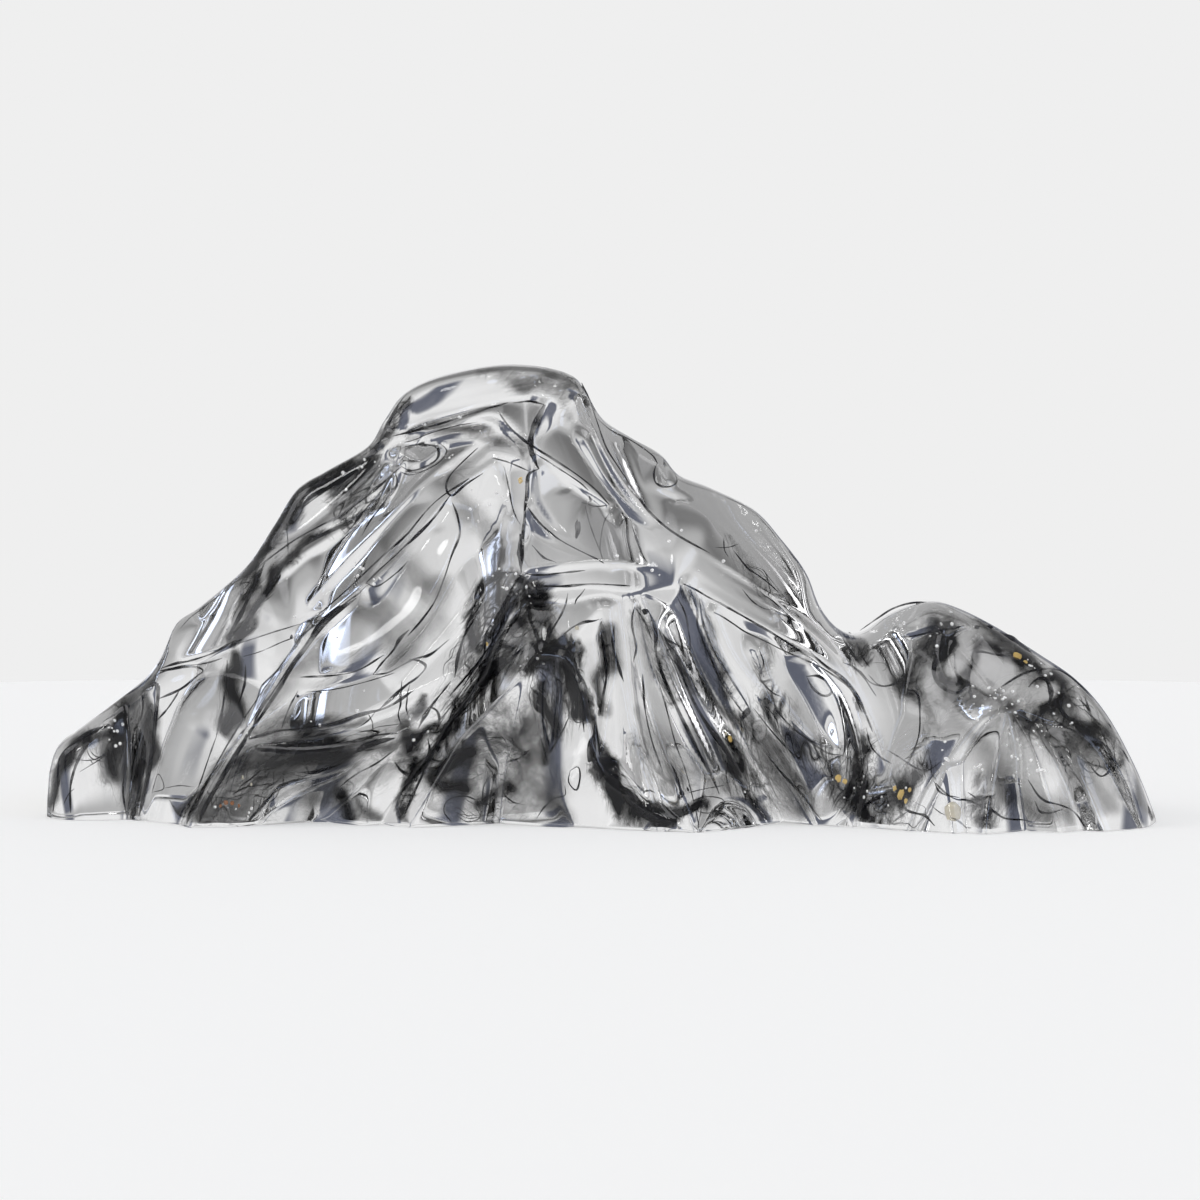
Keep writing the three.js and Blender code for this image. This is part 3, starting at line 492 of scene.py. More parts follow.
# The ink sealed in the resin. Its lines run just under the front face: (thickness, path of x, z).
INK_LINES = {
    "cap": [
        (1.7, [(-47, 224), (-38, 225), (-30, 223)]),
        (3.0, [(-30, 223), (-34, 214), (-37, 206), (-37, 199), (-35, 192), (-33, 188)]),
        (1.6, [(-33, 188), (-38, 185), (-39, 175), (-40, 163), (-41, 150), (-41, 133)]),
        (3.2, [(-42, 153), (-42, 143), (-41, 133)]),
        (1.1, [(-55, 219), (-46, 209), (-37, 201), (-26, 194), (-14, 186), (-4, 178), (5, 169)]),
        (0.8, [(5, 169), (-3, 168), (-10, 170)]),
        (0.6, [(-36, 197), (-24, 190), (-12, 182), (-6, 177)]),
        (0.6, [(5, 164), (2, 159), (0, 147), (1, 140)]),
        (0.6, [(-8, 168), (-6, 160), (-2, 149), (2, 139)]),
        (0.9, [(-39, 168), (-32, 159), (-24, 152), (-14, 146), (2, 138)]),
        (1.1, [(-36, 147), (-30, 141), (-23, 138)]),
        (1.2, [(-40, 133), (-30, 132), (-20, 133), (-8, 134)]),
        (1.3, [(-107, 190), (-102, 188), (-96, 189), (-89, 193), (-87, 198), (-90, 201), (-98, 202),
               (-106, 200)]),
        (0.8, [(-108, 187), (-102, 185), (-95, 187), (-86, 192), (-83, 198), (-87, 203)]),
        (1.1, [(-66, 200), (-74, 192), (-81, 183), (-82, 177), (-79, 174), (-72, 180), (-63, 186)]),
        (0.9, [(-52, 190), (-49, 178), (-46, 166), (-42, 158)]),
        (1.2, [(-10, 236), (-6, 226), (-2, 214), (3, 200), (9, 190), (18, 176), (27, 164), (40, 153),
               (58, 143)]),
        (1.1, [(17, 157), (19, 151), (23, 141), (25, 138)]),
        (1.2, [(-112, 206), (-104, 208), (-92, 211), (-78, 215), (-62, 220), (-50, 224)]),
        (0.7, [(-106, 203), (-94, 207), (-80, 211), (-66, 214)]),
        (0.9, [(-58, 194), (-48, 192), (-38, 187)]),
    ],
    "left_shoulder": [
        (4.6, [(-186, 135), (-180, 146), (-174, 157), (-168, 165), (-160, 173), (-149, 180),
               (-138, 185), (-130, 189)]),
        (2.2, [(-198, 127), (-190, 131), (-183, 138), (-178, 148), (-172, 160)]),
        (3.4, [(-181, 137), (-187, 122), (-192, 110), (-199, 97)]),
        (3.4, [(-133, 160), (-150, 152), (-162, 145), (-170, 136), (-178, 122), (-186, 110),
               (-193, 97)]),
        (1.2, [(-107, 190), (-113, 184), (-122, 177), (-131, 170), (-140, 163), (-152, 157),
               (-165, 150), (-180, 139), (-186, 133)]),
        (1.2, [(-110, 185), (-110, 180), (-113, 174), (-118, 167), (-123, 160), (-127, 152)]),
        (1.5, [(-137, 173), (-133, 181), (-131, 190)]),
        (1.2, [(-136, 174), (-128, 180), (-121, 188), (-118, 197)]),
        (0.6, [(-170, 157), (-164, 162), (-160, 170)]),
        (0.6, [(-170, 157), (-169, 150), (-168, 142)]),
        (1.0, [(-140, 150), (-134, 157), (-126, 167), (-117, 178)]),
        (2.6, [(-119, 203), (-115, 212), (-110, 221), (-104, 229)]),
        (1.1, [(-227, 102), (-222, 108), (-214, 114), (-206, 120), (-198, 126), (-190, 132)]),
    ],
    "left_folds": [
        (1.1, [(-80, 174), (-88, 163), (-97, 153), (-106, 144), (-115, 136), (-124, 127)]),
        (0.8, [(-124, 127), (-118, 126), (-108, 133), (-102, 139)]),
        (1.0, [(-79, 170), (-76, 162), (-75, 153), (-79, 142), (-83, 130), (-88, 118), (-95, 108),
               (-102, 100)]),
        (1.0, [(-70, 183), (-88, 170), (-104, 152), (-120, 137), (-138, 120), (-152, 108)]),
        (1.0, [(-123, 126), (-135, 117), (-148, 106), (-158, 92), (-170, 74), (-180, 58),
               (-184, 46)]),
        (2.2, [(-130, 120), (-146, 107), (-158, 90), (-170, 71), (-184, 49), (-196, 30),
               (-206, 13), (-211, 1)]),
        (1.2, [(-154, 104), (-168, 84), (-182, 64), (-194, 45), (-204, 26), (-211, 10)]),
        (0.7, [(-198, 94), (-186, 97), (-170, 102), (-154, 107), (-146, 111)]),
        (0.6, [(-190, 88), (-180, 91), (-168, 96), (-160, 99)]),
        (1.4, [(-184, 46), (-168, 50), (-155, 51), (-140, 54), (-125, 59), (-112, 63), (-98, 71)]),
        (1.0, [(-178, 40), (-165, 40), (-150, 41), (-136, 43), (-120, 47), (-106, 49)]),
        (2.4, [(-160, 29), (-150, 29), (-138, 34), (-124, 42), (-108, 47)]),
        (2.8, [(-152, 26), (-165, 22), (-176, 13), (-186, 3)]),
        (0.8, [(-154, 40), (-155, 33), (-152, 26)]),
        (1.2, [(-107, 41), (-117, 34), (-128, 28), (-137, 21)]),
        (0.9, [(-167, 51), (-165, 58), (-162, 66), (-160, 71)]),
        (1.3, [(-120, 79), (-116, 85), (-110, 92), (-106, 98), (-101, 103)]),
        (1.0, [(-120, 79), (-112, 80), (-104, 84), (-98, 87), (-90, 90), (-80, 98)]),
        (1.5, [(-100, 87), (-94, 86), (-92, 83), (-96, 78), (-102, 74), (-108, 68), (-116, 62)]),
        (1.0, [(-104, 76), (-105, 66), (-106, 58), (-104, 53)]),
        (0.8, [(-100, 74), (-102, 64), (-100, 56)]),
        (0.9, [(-129, 51), (-122, 56), (-118, 61)]),
        (0.8, [(-122, 60), (-120, 54), (-119, 49)]),
        (0.9, [(-158, 78), (-144, 79), (-128, 82), (-114, 90)]),
        (0.7, [(-156, 70), (-140, 71), (-124, 75), (-108, 80)]),
    ],
    "left_block": [
        (4.4, [(-295, 2), (-293, 14), (-290, 28), (-284, 38), (-276, 45), (-265, 50)]),
        (1.4, [(-284, 4), (-284, 18), (-281, 30), (-276, 39), (-268, 43)]),
        (1.8, [(-249, 67), (-241, 72), (-237, 71), (-238, 55), (-240, 36), (-244, 14), (-247, 1)]),
        (1.4, [(-251, 66), (-246, 66), (-246, 56), (-251, 46), (-252, 34)]),
        (1.1, [(-257, 30), (-257, 14), (-255, 1)]),
        (1.0, [(-268, 52), (-256, 60), (-246, 68), (-238, 77), (-226, 82), (-212, 84), (-202, 87)]),
        (1.2, [(-238, 80), (-224, 85), (-208, 90), (-196, 96)]),
        (1.2, [(-238, 79), (-228, 81), (-219, 82), (-213, 80), (-218, 76), (-226, 70), (-237, 65)]),
        (1.0, [(-226, 70), (-228, 66), (-232, 60), (-238, 53)]),
        (0.5, [(-283, 33), (-276, 32), (-270, 33), (-264, 37)]),
        (0.5, [(-276, 39), (-273, 33), (-266, 31)]),
        (0.5, [(-279, 26), (-271, 31), (-264, 36)]),
        (0.6, [(-288, 8), (-285, 14), (-282, 17)]),
        (1.5, [(-199, 86), (-199, 72), (-200, 58), (-202, 46)]),
        (1.4, [(-188, 84), (-189, 72), (-192, 60), (-198, 50)]),
        (0.9, [(-202, 46), (-207, 32), (-212, 16)]),
        (2.0, [(-228, 12), (-224, 7), (-219, 4), (-214, 7)]),
        (0.5, [(-240, 15), (-236, 25), (-232, 18), (-240, 15)]),
        (0.5, [(-232, 18), (-222, 20), (-214, 20)]),
    ],
    "knot": [
        (1.6, [(-43, 133), (-52, 132), (-58, 128), (-63, 122), (-68, 113), (-70, 103), (-74, 90),
               (-76, 78)]),
        (1.4, [(-62, 130), (-65, 124), (-67, 116)]),
        (1.2, [(-30, 118), (-29, 111), (-29, 104), (-29, 97)]),
        (1.0, [(-17, 123), (-19, 114), (-24, 105), (-29, 98)]),
        (1.4, [(-8, 125), (-12, 120), (-13, 116)]),
        (2.2, [(-40, 131), (-36, 122), (-37, 110), (-33, 100), (-30, 92)]),
        (1.6, [(-44, 128), (-50, 118), (-52, 106), (-58, 96), (-66, 84), (-72, 74)]),
        (1.4, [(-55, 112), (-60, 100), (-62, 90), (-70, 80), (-80, 68)]),
        (1.4, [(-38, 96), (-46, 88), (-56, 80), (-64, 68), (-74, 58), (-88, 44)]),
        (2.8, [(-60, 84), (-70, 68), (-80, 54), (-88, 40), (-97, 24)]),
        (2.0, [(-70, 66), (-80, 50), (-88, 36), (-96, 20), (-102, 6)]),
        (1.4, [(-92, 62), (-87, 62), (-85, 58), (-86, 52), (-90, 46)]),
        (2.4, [(-108, 34), (-105, 29), (-99, 26), (-93, 28), (-90, 36), (-91, 46)]),
        (1.2, [(-78, 76), (-86, 66), (-92, 58), (-96, 51)]),
    ],
    "pyramid": [
        (1.8, [(-33, 88), (-28, 92), (-20, 93), (-15, 89), (-12, 81), (-8, 73), (-9, 64), (-8, 50)]),
        (0.8, [(-30, 66), (-30, 54), (-28, 42), (-27, 39), (-24, 43), (-19, 51), (-15, 60)]),
        (0.7, [(-29, 64), (-28, 50), (-27, 40)]),
        (0.6, [(-16, 60), (-12, 55), (-8, 56)]),
        (4.2, [(-4, 52), (-4, 43), (-3, 36), (1, 30)]),
        (4.6, [(0, 31), (8, 23), (16, 16), (22, 10), (30, 7), (38, 7), (48, 10)]),
        (1.0, [(5, 27), (10, 28), (16, 25)]),
        (3.2, [(-84, 30), (-84, 24), (-80, 21), (-73, 22)]),
        (0.9, [(-65, 12), (-60, 11), (-53, 12)]),
        (0.8, [(-62, 12), (-62, 20), (-58, 27)]),
        (0.8, [(-55, 14), (-50, 15), (-45, 12), (-39, 11)]),
        (0.6, [(-78, 2), (-82, 8), (-80, 14), (-72, 16), (-64, 13)]),
        (0.5, [(-76, 6), (-70, 2), (-64, 4), (-66, 10)]),
        (0.7, [(-33, 4), (-29, 10), (-24, 15), (-18, 17), (-18, 22)]),
        (0.9, [(-15, 30), (-11, 32), (-10, 27), (-12, 20), (-16, 24), (-15, 30)]),
        (0.8, [(-36, 41), (-42, 36), (-50, 33)]),
    ],
    "flutes": [
        (1.9, [(25, 113), (29, 103), (30, 91), (34, 78), (42, 60), (50, 44), (58, 27), (62, 17)]),
        (1.9, [(33, 101), (40, 88), (48, 68), (56, 54), (66, 40), (72, 29)]),
        (1.3, [(47, 124), (51, 113), (52, 104), (58, 90), (64, 77), (72, 65), (78, 57)]),
        (0.9, [(52, 119), (54, 107), (60, 92), (68, 78), (75, 67), (79, 60)]),
        (0.9, [(18, 115), (17, 106), (19, 94), (18, 86)]),
        (0.8, [(18, 115), (24, 107), (28, 98)]),
        (1.8, [(1, 104), (3, 92), (4, 80), (2, 68), (0, 58)]),
        (1.1, [(0, 109), (-8, 107), (-16, 103), (-24, 96)]),
        (1.4, [(7, 105), (7, 94), (10, 82), (12, 76)]),
        (1.3, [(41, 121), (46, 110), (48, 97), (47, 92)]),
        (0.9, [(33, 101), (38, 96), (47, 92)]),
        (0.9, [(22, 80), (24, 62), (28, 44), (33, 30)]),
        (1.1, [(30, 82), (34, 64), (39, 44), (44, 30), (48, 14), (51, 1)]),
        (1.8, [(36, 34), (40, 26), (42, 18)]),
        (0.9, [(47, 15), (56, 16), (64, 14), (62, 9), (52, 9), (47, 13)]),
        (0.6, [(45, 19), (55, 20), (66, 21)]),
        (1.0, [(80, 62), (90, 50), (100, 40), (106, 35)]),
        (1.0, [(92, 62), (100, 53), (112, 44), (120, 39), (127, 38)]),
        (0.9, [(122, 72), (126, 58), (128, 44), (127, 37)]),
        (1.1, [(88, 38), (96, 28), (106, 16), (118, 2)]),
        (1.3, [(127, 38), (120, 33), (126, 20), (134, 9), (144, 14)]),
        (0.9, [(-36, 126), (-20, 126), (-4, 127), (16, 126)]),
        (1.0, [(44, 127), (60, 119), (80, 108), (100, 96), (116, 84)]),
    ],
    "right_slab": [
        (1.4, [(-2, 216), (6, 209), (18, 203), (28, 196), (31, 191)]),
        (0.9, [(28, 197), (34, 194), (41, 186)]),
        (1.1, [(31, 192), (29, 186), (30, 181), (34, 179), (40, 180), (41, 184), (37, 189)]),
        (1.0, [(41, 183), (48, 180), (58, 177), (68, 173), (80, 167), (88, 160), (96, 150)]),
        (1.5, [(86, 161), (92, 155), (97, 148)]),
        (1.7, [(99, 147), (105, 139), (111, 131)]),
        (0.8, [(66, 151), (66, 145), (68, 141)]),
        (0.6, [(61, 146), (69, 146), (74, 148)]),
        (1.1, [(71, 144), (78, 135), (84, 131), (90, 126), (94, 122)]),
        (0.7, [(75, 124), (80, 118), (86, 114), (91, 113)]),
        (1.3, [(88, 121), (94, 115), (100, 108), (103, 101)]),
        (1.0, [(60, 112), (70, 106), (84, 98), (98, 92), (112, 85), (124, 79), (132, 72),
               (138, 60)]),
        (1.1, [(110, 92), (118, 85), (127, 78), (134, 70), (139, 60), (143, 50)]),
        (0.7, [(84, 92), (86, 85), (84, 78), (90, 71), (96, 67)]),
        (1.3, [(109, 79), (112, 73), (117, 69), (121, 70), (119, 75), (114, 79), (109, 79)]),
        (2.2, [(127, 101), (130, 94), (134, 88), (138, 83)]),
        (1.4, [(136, 100), (136, 94), (139, 87), (142, 83)]),
        (1.0, [(128, 86), (136, 81), (142, 75), (150, 73), (162, 75)]),
        (1.0, [(130, 86), (138, 78), (145, 68)]),
    ],
    "hill": [
        (0.9, [(142, 101), (152, 108), (160, 113), (170, 116), (180, 116), (190, 113), (203, 106)]),
        (1.2, [(141, 91), (154, 96), (168, 99), (180, 101), (196, 104)]),
        (0.9, [(163, 77), (152, 73), (146, 74), (141, 79)]),
        (1.0, [(163, 77), (162, 71), (168, 69), (169, 60), (167, 48), (161, 34)]),
        (2.4, [(188, 98), (182, 90), (178, 80), (180, 73), (188, 69), (194, 72), (196, 78),
               (198, 84)]),
        (1.8, [(198, 84), (200, 90), (210, 89), (220, 87), (230, 81)]),
        (1.6, [(198, 84), (196, 76), (196, 66), (199, 61)]),
        (4.4, [(204, 103), (214, 100), (222, 96), (230, 89), (237, 83)]),
        (1.4, [(208, 70), (216, 75), (224, 79), (232, 81), (242, 81), (250, 78), (258, 70),
               (266, 58), (272, 46), (278, 34), (285, 20), (291, 5)]),
        (2.4, [(226, 72), (231, 76), (236, 76), (238, 70), (236, 64), (230, 62)]),
        (2.4, [(246, 76), (244, 70), (242, 62), (246, 56), (254, 54)]),
        (1.1, [(234, 56), (244, 52), (256, 46), (264, 41)]),
        (2.6, [(262, 62), (268, 52), (274, 42), (279, 32)]),
        (2.8, [(283, 20), (288, 11), (292, 2)]),
        (1.4, [(256, 42), (262, 44), (267, 38), (266, 30), (260, 27), (254, 33)]),
        (1.0, [(222, 26), (228, 17), (240, 12), (248, 7), (252, 0)]),
        (1.1, [(225, 16), (228, 10), (238, 11)]),
        (1.1, [(173, 25), (182, 17), (190, 16), (200, 12), (208, 7), (222, 5)]),
        (1.0, [(190, 20), (198, 15)]),
        (1.0, [(172, 26), (176, 20), (185, 17)]),
        (1.6, [(152, 20), (158, 12), (160, 10), (168, 8), (173, 3)]),
        (1.4, [(160, 10), (152, 3)]),
        (2.4, [(153, 20), (144, 14), (136, 7)]),
        (1.4, [(180, 8), (186, 4), (191, 0)]),
        (0.8, [(150, 40), (156, 37), (164, 32), (170, 31), (178, 36)]),
        (1.0, [(140, 52), (143, 42), (148, 36), (153, 33)]),
    ],
}

# Drifts of smoke-like ink, and one of painted shade: the way a drift's streaks run, in degrees
# from level, how drawn out they are, and its clouds: (width, how dense, path of x, z).
INK_DRIFTS = {
    "knot": (60, 2.6, [
        (22, 0.66, [(-38, 130), (-42, 118), (-47, 106)]),
        (24, 0.76, [(-35, 118), (-38, 104), (-46, 92), (-56, 80)]),
        (7, 1.0, [(-33, 129), (-31, 112), (-31, 98), (-35, 86)]),
        (7, 1.05, [(-41, 134), (-53, 131), (-62, 123), (-67, 110), (-70, 92)]),
        (26, 0.55, [(-52, 124), (-62, 106), (-72, 84)]),
        (10, 1.0, [(-50, 94), (-61, 77), (-73, 60), (-86, 42), (-98, 18)]),
        (24, 0.46, [(-58, 88), (-74, 64), (-92, 34)]),
        (9, 1.05, [(-96, 30), (-101, 14), (-104, 2)]),
    ]),
    "arch": (87, 3.6, [
        (9, 1.35, [(-38, 86), (-30, 92), (-21, 92), (-15, 86), (-11, 75), (-8, 64), (-9, 56)]),
        (26, 0.56, [(-27, 88), (-24, 72), (-26, 56), (-28, 42)]),
        (9, 0.85, [(-20, 86), (-17, 72), (-14, 58)]),
        (6, 0.9, [(-29, 74), (-28, 56), (-28, 36)]),
        (6, 1.2, [(-4, 57), (-4, 43), (-2, 34), (4, 27), (12, 20)]),
        (8, 1.35, [(1, 31), (12, 18), (24, 9), (38, 6), (54, 10)]),
        (16, 0.5, [(1, 31), (12, 18), (24, 9), (38, 6)]),
    ]),
    "pyramid": (25, 1.2, [
        (50, 0.42, [(-80, 22), (-56, 24), (-28, 22)]),
        (28, 0.74, [(-74, 34), (-66, 42), (-54, 45), (-42, 38)]),
        (6, 1.4, [(-69, 36), (-79, 33), (-84, 26), (-80, 19), (-70, 21)]),
        (20, 0.4, [(-88, 9), (-66, 6), (-44, 8), (-22, 8)]),
        (9, 1.1, [(-90, 66), (-97, 58), (-104, 52), (-98, 46), (-90, 49)]),
        (11, 1.0, [(-104, 45), (-99, 35), (-93, 27)]),
        (30, 0.66, [(-36, 56), (-50, 62), (-62, 56)]),
        (10, 0.95, [(-60, 16), (-52, 21), (-44, 20)]),
    ]),
    "lower_left": (34, 2.4, [
        (34, 1.0, [(-148, 36), (-166, 30), (-184, 18), (-200, 5)]),
        (22, 0.85, [(-144, 46), (-164, 45), (-186, 36)]),
        (11, 1.0, [(-104, 50), (-122, 44), (-140, 39), (-156, 37)]),
        (26, 0.66, [(-104, 34), (-126, 28), (-152, 14)]),
        (10, 1.15, [(-137, 19), (-131, 9), (-129, 3)]),
        (9, 0.95, [(-124, 15), (-119, 5)]),
        (8, 0.8, [(-124, 61), (-142, 54), (-160, 51)]),
        (14, 0.55, [(-146, 108), (-162, 86), (-178, 60), (-194, 34), (-208, 8)]),
        (12, 0.5, [(-118, 96), (-134, 84), (-150, 66)]),
    ]),
    "block": (86, 3.0, [
        (17, 1.3, [(-253, 67), (-259, 54), (-262, 42), (-262, 27)]),
        (15, 0.8, [(-246, 73), (-248, 52), (-251, 28), (-253, 1)]),
        (9, 1.0, [(-240, 72), (-241, 50), (-243, 28), (-246, 3)]),
        (10, 1.15, [(-294, 3), (-291, 18), (-285, 32), (-274, 44), (-262, 54)]),
        (13, 1.25, [(-193, 90), (-193, 76), (-194, 64), (-199, 50)]),
        (9, 1.1, [(-219, 4), (-212, 8), (-208, 16)]),
    ]),
    "shoulder": (44, 3.0, [
        (8, 1.2, [(-198, 127), (-188, 134), (-180, 146), (-172, 158), (-162, 170), (-150, 179),
                   (-136, 187)]),
        (14, 1.0, [(-142, 178), (-132, 184), (-124, 193)]),
        (18, 0.6, [(-140, 168), (-130, 180), (-118, 197)]),
        (7, 1.0, [(-122, 200), (-114, 213), (-106, 226)]),
        (7, 1.15, [(-182, 137), (-188, 122), (-193, 110), (-199, 97)]),
        (7, 1.0, [(-150, 152), (-166, 142), (-178, 124), (-188, 108), (-195, 97)]),
        (14, 0.55, [(-112, 182), (-124, 170), (-140, 158)]),
    ]),
    "cap": (18, 2.4, [
        (12, 0.7, [(-62, 240), (-36, 238), (-16, 231)]),
        (9, 0.8, [(-104, 206), (-84, 210), (-60, 208), (-40, 201)]),
        (12, 0.6, [(-40, 238), (-24, 228), (-20, 214)]),
        (16, 0.45, [(-96, 196), (-80, 190), (-70, 182)]),
    ]),
    "flutes": (-68, 3.2, [
        (11, 0.78, [(24, 112), (30, 96), (34, 80), (40, 64)]),
        (9, 0.7, [(2, 104), (3, 84), (1, 62)]),
        (8, 0.78, [(48, 122), (53, 106), (60, 90), (70, 72)]),
        (14, 0.7, [(64, 46), (72, 32), (80, 18), (88, 3)]),
        (14, 0.8, [(92, 68), (98, 54), (106, 42), (116, 34), (124, 24)]),
        (12, 0.75, [(40, 86), (50, 74), (62, 62), (76, 54)]),
        (12, 0.65, [(60, 40), (70, 26), (80, 12)]),
        (30, 0.5, [(20, 44), (30, 30), (44, 22)]),
        (40, 0.5, [(76, 60), (92, 36), (108, 14)]),
        (9, 0.6, [(83, 98), (86, 84), (92, 70)]),
        (16, 0.45, [(92, 124), (98, 112), (105, 100)]),
        (8, 0.55, [(66, 150), (76, 140), (88, 126)]),
    ]),
    "valley": (78, 2.2, [
        (24, 0.8, [(134, 46), (134, 28), (134, 10)]),
        (26, 0.85, [(160, 22), (150, 12), (144, 3)]),
        (10, 1.1, [(139, 36), (138, 20), (141, 5)]),
        (9, 0.95, [(126, 103), (130, 94), (137, 84)]),
        (8, 0.85, [(135, 102), (138, 92), (143, 82)]),
        (10, 0.9, [(167, 32), (162, 22), (158, 15)]),
        (16, 0.5, [(178, 58), (172, 48), (163, 36)]),
        (24, 0.45, [(186, 6), (206, 14), (232, 8)]),
        (10, 0.8, [(196, 22), (200, 12), (201, 4)]),
    ]),
    # painted shade: dark sheets laid where the resin is only shaded by refraction, not inked
    "painted_shade": (-50, 2.0, [
        (24, 0.76, [(-128, 122), (-114, 104), (-104, 88)]),
        (26, 0.72, [(-74, 174), (-62, 158), (-50, 142)]),
        (22, 0.76, [(-148, 92), (-160, 78), (-172, 62)]),
        (13, 0.95, [(2, 108), (3, 86), (2, 64)]),
        (19, 0.92, [(44, 90), (56, 73), (70, 58)]),
        (26, 0.92, [(84, 48), (96, 28), (110, 6)]),
        (24, 0.78, [(212, 24), (228, 14), (242, 5)]),
        (16, 0.76, [(24, 60), (30, 40), (40, 24)]),
        (26, 0.72, [(-112, 152), (-102, 138), (-92, 126)]),
        (24, 0.66, [(-80, 122), (-88, 108), (-98, 94)]),
        (18, 0.8, [(20, 106), (24, 92), (28, 80)]),
        (20, 0.8, [(48, 46), (54, 34), (60, 22)]),
        (26, 0.76, [(248, 34), (256, 22), (266, 10)]),
        (20, 0.72, [(192, 44), (200, 32), (208, 22)]),
        (36, 0.84, [(-38, 46), (-30, 26), (-22, 8)]),
        (30, 0.72, [(-84, 22), (-66, 18), (-50, 20)]),
    ]),
    "hill": (38, 1.3, [
        (22, 0.95, [(190, 102), (178, 95), (168, 85), (163, 72)]),
        (14, 0.75, [(162, 76), (172, 66), (186, 62), (199, 64)]),
        (7, 1.05, [(190, 99), (183, 89), (180, 79), (184, 71), (193, 70), (198, 78), (200, 88),
                   (212, 90), (226, 84)]),
        (10, 1.3, [(203, 105), (214, 100), (224, 94), (236, 84)]),
        (20, 0.6, [(206, 96), (218, 88), (230, 78)]),
        (16, 0.85, [(205, 69), (214, 64), (219, 56)]),
        (20, 0.95, [(226, 60), (234, 50), (244, 44), (253, 40)]),
        (7, 1.05, [(232, 77), (241, 77), (246, 68), (241, 59), (233, 60)]),
        (9, 0.95, [(250, 80), (249, 66), (252, 52), (258, 40)]),
        (8, 0.8, [(240, 58), (250, 50), (262, 46)]),
        (6, 0.9, [(256, 44), (264, 46), (270, 38), (268, 30), (260, 30)]),
        (12, 0.7, [(256, 42), (266, 28), (277, 12)]),
        (11, 1.1, [(246, 80), (254, 78), (262, 68)]),
        (8, 1.0, [(262, 66), (270, 50), (279, 32), (288, 14), (293, 3)]),
        (34, 0.36, [(188, 52), (206, 44), (222, 30)]),
    ]),
}

# Small dense clots: (x, z, width, height, turn in degrees).
INK_CLOTS = [
    (-12, 157, 3, 10, 4), (-5, 173, 1.6, 4.5, 0), (24, 113, 3, 2.6, 30), (77, 60, 3, 6, 35),
    (42, 19, 2.6, 4, 10), (45, 21, 2, 2.4, 0), (100, 108, 2.2, 4.5, 15), (203, 103, 3, 3, 0),
    (209, 103, 5, 2.6, -15), (221, 58, 7, 7, 20), (200, 15, 2, 9, 5), (-170, 157, 2.6, 3, 0),
    (-163, 99, 1.6, 2.4, 0), (-160, 68, 1.8, 2.2, 0), (-215, 12, 4, 6, -20), (-4, 44, 3.4, 13, 5),
    (275, 38, 3, 9, -30), (289, 8, 3, 9, -25),
]

# The two faces as maps, in steps of MAP_STEP, to find places inside the casting quickly.
MAP_STEP = 1.0
MAP_TOP = 248
MAP_X = np.arange(SKYLINE[0][0], -SKYLINE[0][0], MAP_STEP)  # as far to the right as to the left
MAP_Z = np.arange(0, MAP_TOP, MAP_STEP)
MAP_END = 1.001  # a place on a map stays this many steps before its end
UNDER_SKYLINE = 0.5
SKIN = 0.7  # the least resin over any ink
LEAST_HEIGHT = 1.0


def face_map(folds, foot):
    x, z = np.meshgrid(MAP_X, MAP_Z, indexing="ij")
    below = z < skyline_height(x) - UNDER_SKYLINE
    out = np.zeros(x.shape)
    out[below] = stand_out(folds, foot, x[below], z[below])
    return out


FRONT_MAP = face_map(FRONT_FOLDS, FRONT_FOOT)
BACK_MAP = face_map(BACK_FOLDS, BACK_FOOT)


def read_map(values, x, z):
    """The value of a map at each x, z, between its points."""
    column = np.clip((x - MAP_X[0]) / MAP_STEP, 0, len(MAP_X) - MAP_END)
    row = np.clip((z - MAP_Z[0]) / MAP_STEP, 0, len(MAP_Z) - MAP_END)
    i, j = column.astype(int), row.astype(int)
    s, t = column - i, row - j
    low = values[i, j] * (1 - s) + values[i + 1, j] * s
    high = values[i, j + 1] * (1 - s) + values[i + 1, j + 1] * s
    return low * (1 - t) + high * t


def place_inside(x, z, depth, thickness):
    """Points a depth below the front face at x, z, kept inside the casting, in metres."""
    margin = SKIN + thickness / 2
    z = np.clip(z, LEAST_HEIGHT + margin, None)
    out = read_map(FRONT_MAP, x, z) - margin
    back = margin - read_map(BACK_MAP, x, z)
    middle = (out + back) / 2
    y = -np.where(out > back, np.maximum(out - depth, back), middle)
    return (np.stack([x, y, z], axis=-1) + (SHIFT_X, PLANE_Y, 0)) * MM


def spot_inside(x, z, depth, thickness):
    """One point of place_inside."""
    return place_inside(np.array([float(x)]), np.array([float(z)]), depth, thickness)[0]


class Parts:
    """Collects shapes that become one mesh."""

    def __init__(self):
        self.vertices = []
        self.faces = []
        self.count = 0

    def add(self, vertices, faces):
        self.vertices.append(vertices)
        self.faces.append(faces + self.count)
        self.count += len(vertices)

    def piece(self, name, material, slot):
        return make_piece(name, np.vstack(self.vertices), np.vstack(self.faces), material)


def unit(vectors):
    return vectors / np.maximum(np.linalg.norm(vectors, axis=1, keepdims=True), TINY)


def turns_of(sides):
    return np.arange(sides) * 2 * math.pi / sides


def closed_faces(rings, sides):
    """Triangles over rings of vertices, whose ends close in two vertices that come last."""
    i, j = np.meshgrid(np.arange(rings - 1), np.arange(sides), indexing="ij")
    a, b = (i * sides + j).ravel(), (i * sides + (j + 1) % sides).ravel()
    c, d = b + sides, a + sides
    side = np.arange(sides)
    after = (side + 1) % sides
    last = (rings - 1) * sides
    start = np.full(sides, rings * sides)
    return np.vstack([
        np.stack([a, b, c], 1), np.stack([a, c, d], 1),
        np.stack([start, after, side], 1), np.stack([start + 1, last + side, last + after], 1),
    ])


TUBE_SIDES = 6
LINE_STEP = 1.2
LINE_DEPTH = 1.2


